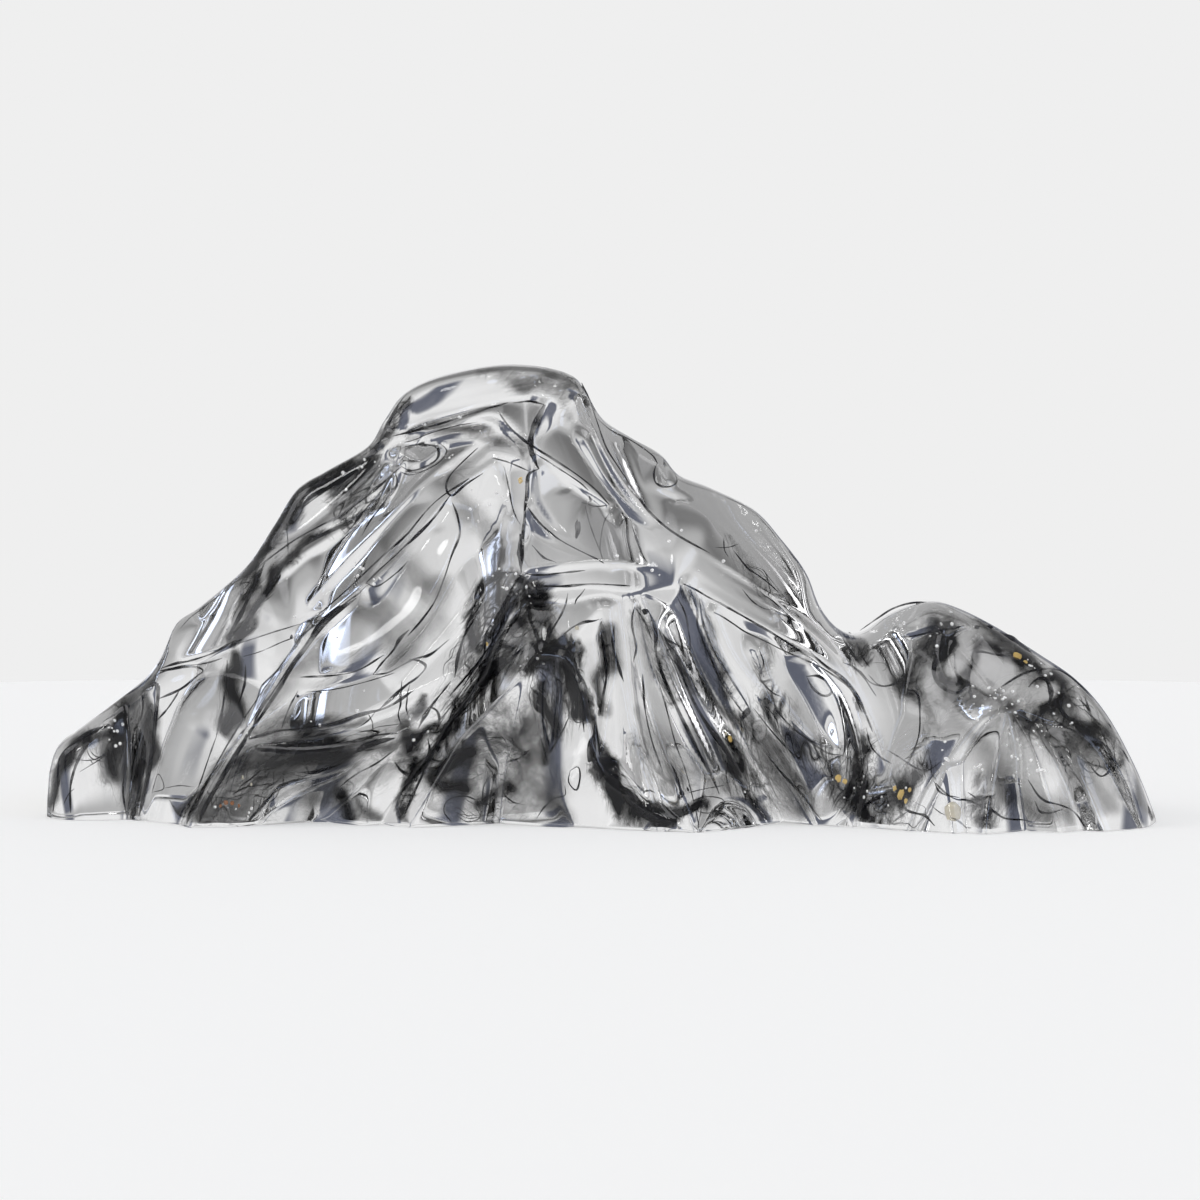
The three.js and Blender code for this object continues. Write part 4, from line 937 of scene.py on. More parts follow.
def tube(line, radii):
    """A closed tube round a line of points, with its own radius at each point."""
    along = unit(np.gradient(line, axis=0))
    across = unit(np.cross(along, (0.0, 1.0, 0.0)))
    up = np.cross(across, along)
    turns = turns_of(TUBE_SIDES)
    ring = across[:, None] * np.cos(turns)[:, None] + up[:, None] * np.sin(turns)[:, None]
    skin = line[:, None] + ring * radii[:, None, None]
    vertices = np.vstack([skin.reshape(-1, 3), line[:1], line[-1:]])
    return vertices, closed_faces(len(line), TUBE_SIDES)


def unit_ball(rows, sides):
    """The vertices and faces of a ball of radius 1, with its poles last."""
    up = np.linspace(0, math.pi, rows)[1:-1]
    u, v = np.meshgrid(up, turns_of(sides), indexing="ij")
    skin = np.stack([np.sin(u) * np.cos(v), np.sin(u) * np.sin(v), np.cos(u)], -1).reshape(-1, 3)
    return np.vstack([skin, (0, 0, 1), (0, 0, -1)]), closed_faces(rows - 2, sides)[:, ::-1]


# A line of ink swells and thins in two waves along it, and lies deeper and less deep in a third:
# (how much, how often). Over END_LENGTH and END_THICKNESSES times its thickness it runs out at both
# ends, to END_SHARE of it.
SWELLS = ((0.22, 9), (0.14, 23))
DIPS = (0.5, 7)
END_THICKNESSES = 4
END_LENGTH = 2
END_SHARE = 0.12
END_ROUNDNESS = 0.6


def ink_line(parts, path, thickness, depth, rng):
    """A line of ink that swells and thins along a smooth path, and runs out at both ends."""
    x, z, _ = spline(path, LINE_STEP).T
    t = np.linspace(0, 1, len(x))
    *starts, dip_start = rng.uniform(0, 2 * math.pi, 3)
    swell = 1
    for (much, often), start in zip(SWELLS, starts):
        swell = swell + much * np.sin(often * t + start)
    from_end = np.minimum(t, 1 - t) * len(x) * LINE_STEP
    taper = from_end / (END_THICKNESSES * thickness + END_LENGTH)
    taper = np.clip(taper, END_SHARE, 1) ** END_ROUNDNESS
    dip = depth * (1 + DIPS[0] * np.sin(DIPS[1] * t + dip_start))
    line = place_inside(x, z, dip, thickness)
    parts.add(*tube(line, thickness / 2 * swell * taper * MM))


# A strand takes a share of its bundle's path, where a very short one is made longer, and sways
# across it in two waves: (how much, slowest, fastest).
GUIDE_STEP = 3
SHORTEST_STRAND = 0.2
LONGER_STRAND = 0.35
SWAYS = ((0.16, 2, 5), (0.03, 8, 13))
STRAND_THICKNESSES = (0.5, 1.4)
STRAND_DEPTHS = (1.5, 14)


def ink_strands(parts, path, spread, count, thickness, rng):
    """Hair-fine lines of ink that drift along a path, side by side, at many depths."""
    guide = spline(path, GUIDE_STEP)[:, :2]
    along = unit(np.gradient(guide, axis=0))
    across = np.stack([-along[:, 1], along[:, 0]], axis=1)
    for _ in range(count):
        start, end = np.sort(rng.uniform(0, 1, 2))
        if end - start < SHORTEST_STRAND:
            end = min(1, start + LONGER_STRAND)
        first, last = int(start * (len(guide) - 1)), max(int(end * (len(guide) - 1)), 2)
        picked = slice(min(first, last - 2), last + 1)
        t = np.linspace(0, 1, len(guide[picked]))
        wave = rng.uniform(-0.5, 0.5)
        for much, slowest, fastest in SWAYS:
            wave = wave + much * np.sin(rng.uniform(slowest, fastest) * t + rng.uniform(0, 6))
        drift = guide[picked] + across[picked] * (spread * wave)[:, None]
        ink_line(parts, drift, thickness * rng.uniform(*STRAND_THICKNESSES),
                 rng.uniform(*STRAND_DEPTHS), rng)


CURL_POINTS = 9
CURL_TURNS = (1.5, 4.5)  # radians
CURL_TIGHTER = 0.7
CURL_SWELL = (0.25, 7)
CURL_FLATTER = 0.8
CURL_DEPTHS = (1.5, 12)


def ink_curl(parts, x, z, size, thickness, rng):
    """A curling thread, as ink draws in a still liquid."""
    turn = rng.uniform(0, 2 * math.pi)
    sweep = rng.uniform(*CURL_TURNS) * rng.choice([-1, 1])
    t = np.linspace(0, 1, CURL_POINTS)
    swell = 1 + CURL_SWELL[0] * np.sin(CURL_SWELL[1] * t + turn)
    radius = size * (1 - CURL_TIGHTER * t) * swell
    angle = turn + sweep * t
    path = np.stack([x + radius * np.cos(angle), z + CURL_FLATTER * radius * np.sin(angle)], axis=1)
    ink_line(parts, path, thickness, rng.uniform(*CURL_DEPTHS), rng)


# A drift of ink is a sheet, made only where there is LEAST_INK or more. Its edges are ragged. Its
# clouds fade out over their width and towards the ends of their paths, and each hides up to
# CLOUD_SHARE of what is behind it.
SHEET_STEP = 1.2
LEAST_INK = 0.04
RAGGED = 3.0
CLOUD_REACH = 1.3  # of its width, how far a cloud is worked out
CLOUD_MARGIN = 8
CLOUD_STEP = 2.5
CLOUD_WIDTH = 0.55  # of its width, where a cloud has thinned to about a third
CLOUD_ENDS = 0.8
CLOUD_SHARE = 0.7
SHEET_FOOT = 1.5
SHEET_TOP = 2  # below the skyline
SHEET_THICKNESS = 0.4
SHEET_WAVE = (1.2, 17, 13)  # how high its waves are, and how long they are along x and z
FLOW_UNIT = 100  # millimetres to one unit of the flow map


def swerve(along, across, long, bent, short, slanted):
    """How far a ragged edge strays: a long bent wave, and a short slanted one half as high."""
    wave = np.sin(across / long + np.sin(along / bent))
    return RAGGED * (wave + 0.5 * np.sin(across / short + along / slanted))


def drift_field(clouds, x, z):
    """How dense the ink of a drift is at each x, z, with ragged edges."""
    ragged_x = x + swerve(x, z, 9, 13, 3.7, 8)
    ragged_z = z + swerve(z, x, 11, 8, 4.3, -9)
    clear = np.ones(x.shape)
    for width, density, path in clouds:
        line = spline(path, CLOUD_STEP)
        line = np.column_stack([line[:, :2], np.linspace(0, 1, len(line))])
        by = near_line(line, CLOUD_REACH * width + CLOUD_MARGIN, x, z)
        squared, along, _ = nearest_on(line, ragged_x[by], ragged_z[by])
        ends = 1 + CLOUD_ENDS * (2 * along - 1) ** 4
        body = density * np.exp(-squared / (CLOUD_WIDTH * width) ** 2 * ends)
        clear[by] *= 1 - CLOUD_SHARE * body
    return (1 - clear) / CLOUD_SHARE


def sheet_grid(clouds):
    """The x, z grid that holds the clouds of a drift."""
    points = np.vstack([np.array(path, float) for _, _, path in clouds])
    reach = CLOUD_REACH * max(width for width, _, _ in clouds)
    low, high = points.min(axis=0) - reach, points.max(axis=0) + reach
    return np.meshgrid(np.arange(low[0], high[0], SHEET_STEP),
                       np.arange(max(low[1], SHEET_FOOT), high[1], SHEET_STEP), indexing="ij")


def inked_squares(x, z, ink):
    """The squares of a grid that hold ink and lie below the skyline, by their corners."""
    kept = np.maximum.reduce([ink[:-1, :-1], ink[1:, :-1], ink[:-1, 1:], ink[1:, 1:]]) > LEAST_INK
    top = np.minimum(skyline_height(x[1:, 1:]), skyline_height(x[:-1, :-1])) - SHEET_TOP
    i, j = np.nonzero(kept & (z[1:, 1:] < top))
    rows = x.shape[1]
    a = i * rows + j
    return np.stack([a, a + rows, a + rows + 1, a + 1], axis=1)


def ink_sheet(name, drift, strength, depth, seed, material):
    """A thin sheet a depth below the front face, of ink or of painted shade, only where the drift
    has ink.
    """
    turn, drawn, clouds = drift
    x, z = sheet_grid(clouds)
    ink = strength * drift_field(clouds, x, z)
    ink[z > skyline_height(x) - SHEET_TOP] = 0
    used, squares = np.unique(inked_squares(x, z, ink), return_inverse=True)
    x, z, ink = x.ravel()[used], z.ravel()[used], ink.ravel()[used]
    high, long_x, long_z = SHEET_WAVE
    wave = high * np.sin(x / long_x + seed) * np.sin(z / long_z + 2 * seed)
    places = place_inside(x, z, depth + wave, SHEET_THICKNESS)
    piece = make_piece(name, places, squares.reshape(-1, 4), material)
    cos, sin = math.cos(math.radians(turn)), math.sin(math.radians(turn))
    flow = np.stack([(x * cos + z * sin) / drawn, z * cos - x * sin], axis=1) / FLOW_UNIT + seed
    corner = np.zeros(len(piece.data.loops), np.int32)
    piece.data.loops.foreach_get("vertex_index", corner)
    for label, values in (("flow", flow), ("density", np.stack([ink, ink], axis=1))):
        piece.data.uv_layers.new(name=label).data.foreach_set("uv", values[corner].ravel())


CLOT_BALL = (9, 14)
CLOT_THINNESS = 0.3
CLOT_DEPTH = 1.5
CLOT_FOOT = 0.3
CLOT_LUMPS = (0.2, 4)  # how high, and how many at most
CLOT_GRAIN = (0.1, 8)


def bumps(ball, high, many, rng):
    """Low waves over a ball, in a direction drawn at random."""
    return high * np.sin(ball @ rng.uniform(-many, many, 3) + rng.uniform(0, 6))


def ink_clot(parts, x, z, width, height, turn, rng):
    """A dense drop of ink with a lumpy skin, broader at its foot."""
    ball, faces = unit_ball(*CLOT_BALL)
    lumps = 1 + bumps(ball, *CLOT_LUMPS, rng)
    high, many = CLOT_GRAIN
    lumps = lumps + high * np.sin(ball @ rng.uniform(-many, many, 3))
    lumps = lumps * (1 - CLOT_FOOT * ball[:, 2])
    thin = min(width, height) * CLOT_THINNESS
    shape = ball * lumps[:, None] * (width / 2, thin, height / 2)
    cos, sin = math.cos(math.radians(turn)), math.sin(math.radians(turn))
    across = shape[:, 0] * cos + shape[:, 2] * sin
    up = shape[:, 2] * cos - shape[:, 0] * sin
    centre = spot_inside(x, z, CLOT_DEPTH, 2 * thin)
    vertices = np.stack([across, shape[:, 1], up], 1) * MM + centre
    vertices[:, 2] = np.maximum(vertices[:, 2], LEAST_HEIGHT * MM)
    parts.add(vertices, faces)


INK_COLOUR = (0.010, 0.010, 0.013)
INK_PALER = (0.05, 0.05, 0.06)
INK_GLOSS = {"Roughness": 0.4, "Specular IOR Level": 0.1}


def thread_material():
    """Hair-fine ink: so thin that some light comes through."""
    material, add = new_material("ink_thread")
    cloud = noise(add, object_place(add), scale=120)
    thin = follow(add, cloud, ends=(0.35, 0.65), results=(0.2, 0.8), how="LINEAR")
    return dressed(material, {"Base Color": (*INK_COLOUR, 1), "Alpha": thin, **INK_GLOSS})


def ink_material():
    """Ink in lines and clots: nearly black, thinner in places."""
    material, add = new_material("ink_dense")
    cloud = noise(add, object_place(add), scale=90, detail=3.0)
    thin = follow(add, cloud, ends=(0.62, 0.42), results=(0.35, 0.9), how="LINEAR")
    colour = between(add, cloud, INK_COLOUR, INK_PALER)
    return dressed(material, {"Base Color": colour, "Alpha": thin, **INK_GLOSS})


# The kinds of smoke: (clouds to 100 mm, how uneven, how dark its threads), and which drift is of
# which kind. All others are torn.
SMOKE = {"ink_torn": (15.0, 3.4, 1.0), "ink_soft": (8.0, 2.2, 0.45),
         # ink_painted_shade is the kind for the painted shade sheets, without threads.
         "ink_smooth": (7.0, 1.5, 0.6), "ink_painted_shade": (6.0, 0.7, 0.0)}
DRIFT_KINDS = {"pyramid": "ink_soft", "hill": "ink_soft", "cap": "ink_soft",
               "lower_left": "ink_smooth", "block": "ink_smooth", "painted_shade": "ink_painted_shade"}
THIN_INK = (0.050, 0.046, 0.034)
# The fine threads in a drift: (how many to 100 mm, width, darkness).
THREADS = [(6.5, 0.022, 0.95), (15.0, 0.028, 0.75), (34.0, 0.034, 0.55)]
# How the streaks bend, and how much ink there is where threads, body and edge begin and are full.
BEND_SCALE = 3.6
BEND = (0.28, 0.28, 0)
THREADS_INK = (0.12, 0.7)
BODY_INK = (0.26, 1.2)
EDGE_INK = (LEAST_INK, 0.2)
DARKEST = 0.99


def ridge_lines(add, at, scale, width, strength):
    """Thin lines where a noise crosses its middle value."""
    off = reckon(add, "SUBTRACT", noise(add, at, scale), 0.5)
    return follow(add, reckon(add, "ABSOLUTE", off), (width, 0.0), (0.0, strength))


def drift_material(name, scale, swing, thread_share):
    """Ink as smoke: streaks that bend, thin out at the edges of a drift and leave fine threads."""
    material, add = new_material(name)
    flow = add("ShaderNodeUVMap", uv_map="flow").outputs["UV"]
    density = add("ShaderNodeUVMap", uv_map="density").outputs["UV"]
    density = add("ShaderNodeSeparateXYZ", {"Vector": density}).outputs["X"]
    bend = add("ShaderNodeTexNoise", {"Vector": flow, "Scale": BEND_SCALE, "Detail": 1.5})
    bend = reckon_vector(add, "MULTIPLY", bend.outputs["Color"], BEND)[0]
    bent = reckon_vector(add, "ADD", flow, bend)[0]
    thread = 0.0
    for count, width, dark in THREADS:
        finer = ridge_lines(add, bent, count, width, dark * thread_share)
        thread = reckon(add, "MAXIMUM", thread, finer)
    thread = reckon(add, "MULTIPLY", thread, follow(add, density, THREADS_INK))
    cloud = noise(add, bent, scale, detail=6.0, roughness=0.64)
    uneven = follow(add, cloud, (0.0, 1.0), (1 - swing / 2, 1 + swing / 2), "LINEAR")
    level = reckon(add, "MULTIPLY", density, uneven)
    body = follow(add, level, BODY_INK, (0.0, DARKEST))
    ink = reckon(add, "MAXIMUM", body, thread)
    return dressed(material, {
        "Base Color": between(add, ink, THIN_INK, INK_COLOUR),
        "Alpha": reckon(add, "MULTIPLY", ink, follow(add, density, EDGE_INK)),
        "Roughness": 0.5,
        "Specular IOR Level": 0.1,
    })


def make_lines(ink):
    rng = np.random.default_rng(SEEDS["lines"])
    for area, lines in INK_LINES.items():
        parts = Parts()
        for thickness, path in lines:
            ink_line(parts, path, thickness, LINE_DEPTH, rng)
        parts.piece(f"ink_lines_{area}", ink, "ink")


# Bundles of hair-fine strands: (path, spread, how many, thickness), and curls: (x, z, reach, how
# many, size).
INK_BUNDLES = [
    ([(-42, 132), (-52, 120), (-60, 102), (-68, 86), (-78, 70)], 18, 26, 0.7),
    ([(-36, 128), (-38, 112), (-46, 98), (-60, 82), (-76, 60), (-92, 36)], 13, 28, 0.7),
    ([(-30, 87), (-28, 72), (-26, 56), (-27, 42)], 13, 20, 0.5),
    ([(-22, 90), (-15, 78), (-11, 62), (-9, 50)], 7, 12, 0.5),
    ([(-78, 28), (-64, 38), (-46, 38), (-36, 34)], 16, 14, 0.4),
    ([(-78, 12), (-62, 8), (-44, 14)], 14, 8, 0.4),
    ([(-150, 40), (-168, 32), (-184, 20), (-202, 4)], 26, 26, 0.6),
    ([(-100, 50), (-124, 44), (-150, 38), (-176, 36)], 10, 14, 0.6),
    ([(-178, 152), (-168, 164), (-150, 178), (-128, 192)], 5, 10, 0.6),
    ([(-140, 178), (-130, 186), (-120, 198)], 11, 12, 0.6),
    ([(-252, 64), (-260, 48), (-262, 24)], 12, 10, 0.6),
    ([(-247, 68), (-249, 46), (-252, 10)], 13, 12, 0.5),
    ([(136, 46), (134, 30), (136, 12)], 16, 14, 0.6),
    ([(160, 24), (150, 12), (142, 4)], 18, 14, 0.7),
    ([(190, 103), (178, 92), (167, 80), (163, 62)], 15, 14, 0.5),
    ([(204, 103), (222, 95), (238, 82)], 8, 12, 0.6),
    ([(226, 58), (238, 48), (252, 40)], 18, 16, 0.6),
    ([(236, 76), (250, 66), (262, 50), (276, 26)], 16, 18, 0.5),
    ([(70, 140), (84, 128), (100, 108)], 10, 6, 0.5),
    ([(64, 48), (76, 28), (88, 6)], 14, 10, 0.5),
    ([(4, 30), (16, 18), (30, 9), (46, 10)], 9, 14, 0.6),
]

INK_CURLS = [
    (-60, 36, 14, 7, 8), (-56, 12, 14, 6, 9), (-180, 22, 16, 4, 6), (-272, 33, 6, 3, 6),
    (-52, 106, 14, 6, 7), (152, 86, 8, 2, 6), (238, 58, 14, 5, 8),
    (262, 36, 8, 3, 7), (152, 14, 12, 4, 7), (236, 18, 14, 2, 9), (190, 14, 14, 2, 8),
]
CURL_SIZES = (0.7, 1.3)
CURL_THICKNESSES = (0.3, 0.55)
FLATTER = 0.7  # how far things are scattered up and down, as a share of that to the sides


def scattered(x, z, reach, rng):
    return x + rng.uniform(-reach, reach), z + rng.uniform(-reach, reach) * FLATTER


def make_strands(thread):
    rng = np.random.default_rng(SEEDS["strands"])
    parts = Parts()
    for path, spread, count, thickness in INK_BUNDLES:
        ink_strands(parts, path, spread, count, thickness, rng)
    for x, z, reach, count, size in INK_CURLS:
        for _ in range(count):
            place = scattered(x, z, reach, rng)
            ink_curl(parts, *place, size * rng.uniform(*CURL_SIZES),
                     rng.uniform(*CURL_THICKNESSES), rng)
    parts.piece("ink_strands", thread, "ink")


# Each drift has one sheet near the face and a fainter one deeper in: (depth, strength). Each next
# drift lies a little deeper than the one before.
SHEETS = [(1.8, 0.92), (6.5, 0.66)]
DRIFT_GAP = 0.25


def make_drifts():
    kinds = {kind: drift_material(kind, *settings) for kind, settings in SMOKE.items()}
    for k, (name, drift) in enumerate(INK_DRIFTS.items()):
        material = kinds[DRIFT_KINDS.get(name, "ink_torn")]
        for layer, (depth, strength) in enumerate(SHEETS):
            ink_sheet(f"ink_{name}_{layer + 1}", drift, strength, depth + DRIFT_GAP * k,
                      3 * k + layer, material)


def make_clots(ink):
    rng = np.random.default_rng(SEEDS["clots"])
    parts = Parts()
    for clot in INK_CLOTS:
        ink_clot(parts, *clot, rng)
    parts.piece("ink_clots", ink, "ink")


# Beads of air near the face: (x, z, reach, how many), and flecks by colour: (x, z, size).
BUBBLES = [
    (208, 64, 12, 26), (214, 40, 18, 26), (170, 100, 20, 14), (-256, 46, 10, 14),
    (-44, 128, 12, 18), (-188, 14, 16, 12), (236, 76, 14, 10), (130, 20, 10, 8), (-36, 84, 8, 8),
    (-4, 60, 4, 5), (-90, 52, 10, 7), (86, 12, 14, 6), (-122, 134, 12, 8), (-90, 204, 18, 10),
    (-124, 188, 16, 12), (148, 16, 12, 10), (-60, 170, 14, 8), (20, 130, 20, 6), (250, 62, 14, 8),
    (-150, 100, 16, 6), (60, 150, 24, 6), (-140, 60, 16, 6), (182, 40, 14, 8),
]
BUBBLE_SIZES = (0.4, 1.05)
# painted highlight: the beads are white and glow, as bubbles look where they catch the light
BUBBLE_HIGHLIGHT_COLOUR = (0.95, 0.95, 0.95)
# The painted_highlight flecks are painted highlights: warm-white spots of refracted light, made as
# things in the resin.
FLECK_COLOURS = {"warm": (0.85, 0.62, 0.22), "rust": (0.40, 0.17, 0.07),
                 "painted_highlight": (0.86, 0.80, 0.66)}
FLECKS = {
    "warm": [
        (-42, 182, 2.8), (125, 26, 3.4), (128, 24, 2.0), (157, 18, 4.2), (154, 21, 2.6),
        (161, 21, 2.2), (159, 15, 2.0), (222, 88, 4.0), (226, 85, 2.0), (68, 45, 2.8),
        (-60, 96, 2.0),
    ],
    "rust": [(-199, 11, 1.6), (-196, 12.5, 2.0), (-193, 12.5, 1.8), (-190, 11, 1.4)],
    # painted highlight: warm-white spots that stand in for light refracted through the resin
    "painted_highlight": [(182, 11, 7.5), (-12, 104, 1.8), (66, 48, 1.8), (-188, 26, 1.6), (-184, 22, 1.4)],
}
BUBBLE_BALL = (7, 10)
BUBBLE_DEPTHS = (0.4, 5)
BUBBLE_TOP = 4  # below the skyline
FLECK_BALL = (6, 9)
FLECK_SHAPE = (0.5, 0.16, 0.6)
FLECK_DEPTH = 1.4
FLECK_THICKNESS = 0.4
FLECK_BUMPS = (0.3, 5)
DIM = 0.6  # how bright the dimmer places of a bead or fleck are


def painted_glow_material(name, colour, roughness, alpha, glow):
    """A colour that is dimmer in places, a little see-through, and glowing with painted light of its
    own.
    """
    material, add = new_material(name)
    cloud = noise(add, object_place(add), scale=260)
    dim = tuple(DIM * c for c in colour)
    return dressed(material, {
        "Base Color": between(add, cloud, dim, colour),
        "Roughness": roughness,
        "Alpha": alpha,
        # painted glow: the emission lights the bead or fleck though it is no lamp
        "Emission Color": (*colour, 1),
        "Emission Strength": glow,
    })


def make_bubbles():
    rng = np.random.default_rng(SEEDS["bubbles"])
    ball, faces = unit_ball(*BUBBLE_BALL)
    parts = Parts()
    for x, z, reach, count in BUBBLES:
        for _ in range(count):
            radius = rng.uniform(*BUBBLE_SIZES)
            near_x, near_z = scattered(x, z, reach, rng)
            if near_z > skyline_height(near_x) - BUBBLE_TOP:
                continue
            centre = spot_inside(near_x, near_z, rng.uniform(*BUBBLE_DEPTHS), 2 * radius)
            parts.add(ball * radius * MM + centre, faces)
    # The beads' white colour and glow are a painted highlight, not the colour of air.
    bubble_highlight = painted_glow_material("bubble_painted_highlight", BUBBLE_HIGHLIGHT_COLOUR, roughness=0.15, alpha=0.9, glow=0.45)
    parts.piece("bubbles", bubble_highlight, "clear_resin")


def make_flecks():
    rng = np.random.default_rng(SEEDS["flecks"])
    ball, faces = unit_ball(*FLECK_BALL)
    for name, flecks in FLECKS.items():
        parts = Parts()
        for x, z, size in flecks:
            skin = 1 + bumps(ball, *FLECK_BUMPS, rng)
            shape = ball * skin[:, None] * FLECK_SHAPE
            centre = spot_inside(x, z, FLECK_DEPTH, FLECK_THICKNESS * size)
            parts.add(shape * size * MM + centre, faces)
        # painted glow: every fleck gives off light in its own colour, though it is no lamp
        glint = painted_glow_material(f"fleck_{name}", FLECK_COLOURS[name], roughness=0.3, alpha=0.8,
                               glow=0.3)
        parts.piece(f"flecks_{name}", glint, "ink")


# The studio. The camera itself sees an even backdrop and a pale floor. What light, reflections and
# refractions see is a bright band all round, level with the object, that darkens upwards and
# downwards, with soft boxes above it: (direction, half width in degrees, softness, brightness).
# Thin grey cards stand in the band, to draw the edges of the resin.
BACKDROP = 0.863
# The band's brightness by the height of the direction, from straight down to straight up.
BAND = [(-1, 0.08), (-0.62, 0.18), (-0.45, 0.48), (-0.32, 0.72), (-0.15, 0.84), (-0.05, 0.88),
        (0.12, 0.88), (0.3, 0.68), (0.55, 0.38), (1, 0.22)]
LIGHTS = [
    ((0, -0.15, 1), 13, 3, (2.4, 2.4, 2.45)),
    ((-1, -0.35, 0.75), 15, 4, (2.2, 2.2, 2.25)),
    ((1, -0.5, 0.75), 13, 3, (1.5, 1.7, 2.2)),
    ((0.35, -1, 0.45), 8, 2, (2.4, 2.8, 3.8)),
    ((-0.45, -1, 0.6), 5, 1, (9, 9, 9)),
    ((0.1, -0.6, 1), 4, 1, (10, 10, 10)),
]
# On the photographer's side the band is darker, most of all higher up: where that side starts, how
# high the directions are between which it darkens, and by how much.
FRONT_STARTS = (-0.45, -0.9)
FRONT_HEIGHTS = (0.1, 0.42)
FRONT_DARKER = (0.22, 0.55)
CARDS = 8
CARD_COLOUR = (0.12, 0.13, 0.17)
CARD_TOP = 0.38  # the height of the direction in which they end, with a soft edge below it
CARD_EDGE = 0.1
CARD_TURN = 1.2  # how far the wave round the object that places them is turned
CARD_WAVE = (-0.55, -0.95)  # the values of that wave where a card begins and where it is full


def dark_cards(add, split):
    """How much of a card is in each direction round the object, from 0 to 1."""
    turn = reckon(add, "ARCTAN2", split["X"], split["Y"])
    wave = reckon(add, "COSINE", reckon(add, "MULTIPLY_ADD", turn, CARDS, CARD_TURN))
    return follow(add, wave, CARD_WAVE)


def soft_box(add, direction, towards, half, soft):
    """How much of a round soft box is in each direction, from 0 to 1."""
    length = math.sqrt(sum(c * c for c in towards))
    facing = reckon_vector(add, "DOT_PRODUCT", direction, tuple(c / length for c in towards))
    edge = [math.cos(math.radians(angle)) for angle in (half + soft, half - soft)]
    return follow(add, facing["Value"], edge)


def make_world():
    world = bpy.data.worlds.new("studio")
    bpy.context.scene.world = world
    world.use_nodes = True
    world.node_tree.nodes.clear()
    add = node_maker(world.node_tree)
    direction = add("ShaderNodeTexCoord").outputs["Generated"]
    split = add("ShaderNodeSeparateXYZ", {"Vector": direction}).outputs
    height = split["Z"]
    colour = grey_ramp(add, height, BAND)
    darker = follow(add, height, FRONT_HEIGHTS, FRONT_DARKER, "LINEAR")
    front = follow(add, split["Y"], FRONT_STARTS, (0.0, darker))
    colour = between(add, front, colour, (0, 0, 0))
    steep = reckon(add, "ABSOLUTE", height)
    low = follow(add, steep, (CARD_TOP, CARD_TOP - CARD_EDGE), how="LINEAR")
    card = reckon(add, "MULTIPLY", dark_cards(add, split), low)
    colour = between(add, card, colour, CARD_COLOUR)
    for towards, half, soft, bright in LIGHTS:
        colour = between(add, soft_box(add, direction, towards, half, soft), colour, bright)
    studio = add("ShaderNodeBackground", {"Color": colour})
    even = add("ShaderNodeBackground", {"Color": (BACKDROP, BACKDROP, BACKDROP, 1)})
    add("ShaderNodeOutputWorld", {"Surface": camera_sees(add, even, studio)})


FLOOR_RADIUS = 1.6
FLOOR_GAP = 0.0002
FLOOR_COLOUR = (0.71, 0.705, 0.685)
FLOOR_GLOW = 0.43  # what the floor adds to its own light, so that it meets the backdrop unseen
# What is seen through the resin close by is a floor that glows darker nearer the object, a painted
# shadow, and beyond that the band shows through the floor. The reach is the half length and half
# depth of an oval round the object.
FLOOR_REACH = (0.30, 0.10)
FLOOR_PAINTED_SHADOW = [(0, 0.36), (0.9, 0.44), (2, 0.58)]
FLOOR_ENDS = (1.1, 2.0)
FLOOR_SIDES = 96


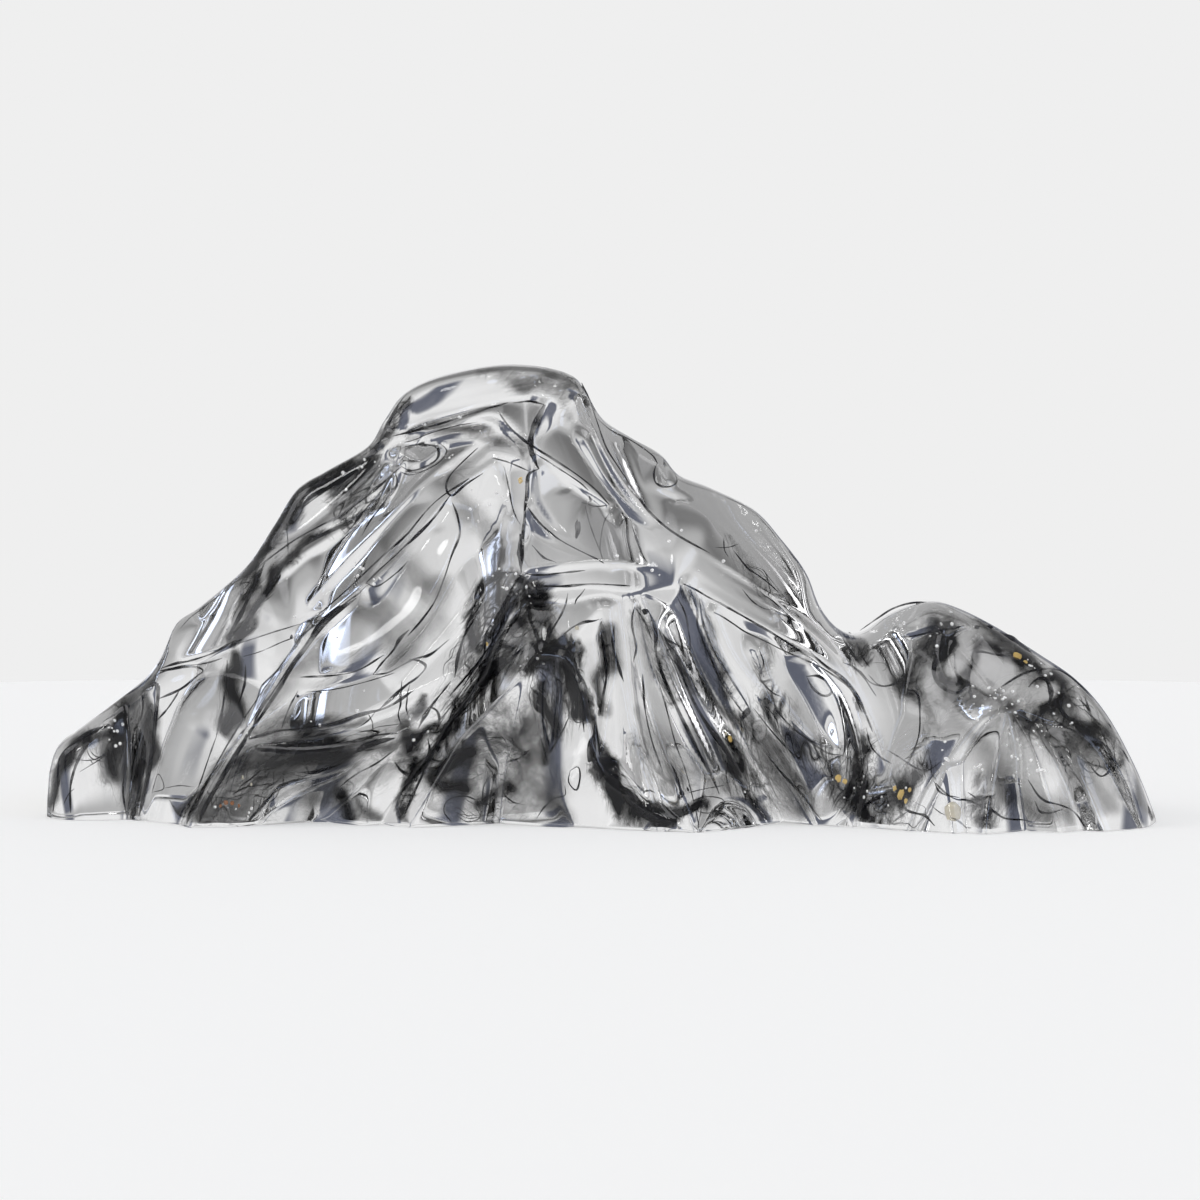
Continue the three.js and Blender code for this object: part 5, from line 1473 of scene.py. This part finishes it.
def floor_material():
    material, add = new_material("pale_floor")
    material.node_tree.nodes.clear()
    scale = (1 / FLOOR_REACH[0], 1 / FLOOR_REACH[1], 0)
    oval = reckon_vector(add, "MULTIPLY", object_place(add), scale)[0]
    reach = reckon_vector(add, "LENGTH", oval)["Value"]
    # painted shadow: the floor glows darker the nearer it is to the object
    near = add("ShaderNodeEmission", {"Color": grey_ramp(add, reach, FLOOR_PAINTED_SHADOW)})
    beyond = add("ShaderNodeBsdfTransparent")
    seen = add("ShaderNodeMixShader", {0: follow(add, reach, FLOOR_ENDS), 1: near.outputs[0],
                                       2: beyond.outputs[0]})
    cloth = add("ShaderNodeBsdfDiffuse", {"Color": (*FLOOR_COLOUR, 1)})
    glow = add("ShaderNodeEmission", {"Strength": FLOOR_GLOW})
    pale = add("ShaderNodeAddShader", {0: cloth.outputs[0], 1: glow.outputs[0]})
    add("ShaderNodeOutputMaterial", {"Surface": camera_sees(add, pale, seen)})
    return material


def make_floor():
    rim = [(FLOOR_RADIUS * math.cos(turn), FLOOR_RADIUS * math.sin(turn), -FLOOR_GAP)
           for turn in turns_of(FLOOR_SIDES)]
    floor = new_object("floor", rim, [range(FLOOR_SIDES)])
    floor.data.materials.append(floor_material())


# The camera stands nearly level with the object, as far off as in the photograph.
CAMERA_DISTANCE = 1546
CAMERA_HEIGHT = 150
CAMERA_LENS = 85
CAMERA_SENSOR = 36
CAMERA_PITCH = math.radians(1.2)
CAMERA_FAR = 20


def make_camera():
    data = bpy.data.cameras.new("camera")
    data.lens = CAMERA_LENS
    data.sensor_width = CAMERA_SENSOR
    data.clip_end = CAMERA_FAR
    camera = bpy.data.objects.new("camera", data)
    camera.location = (SHIFT_X * MM, (PLANE_Y - CAMERA_DISTANCE) * MM, CAMERA_HEIGHT * MM)
    camera.rotation_euler = (math.pi / 2 - CAMERA_PITCH, 0, 0)
    bpy.context.scene.collection.objects.link(camera)
    bpy.context.scene.camera = camera


def light_paths():
    scene = bpy.context.scene
    scene.view_settings.view_transform = "Standard"
    cycles = scene.cycles
    cycles.max_bounces = 32
    cycles.transmission_bounces = 32
    cycles.glossy_bounces = 16
    cycles.transparent_max_bounces = 64
    cycles.caustics_reflective = False
    cycles.caustics_refractive = True
    cycles.use_denoising = True


make_camera()
light_paths()
make_world()
make_floor()

resin = resin_material()
casting = make_casting()
casting.data.materials.append(resin)
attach(casting, "root")
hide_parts("resin_mountain")

ink = ink_material()
make_lines(ink)
make_strands(thread_material())
make_drifts()
make_clots(ink)
make_bubbles()
make_flecks()
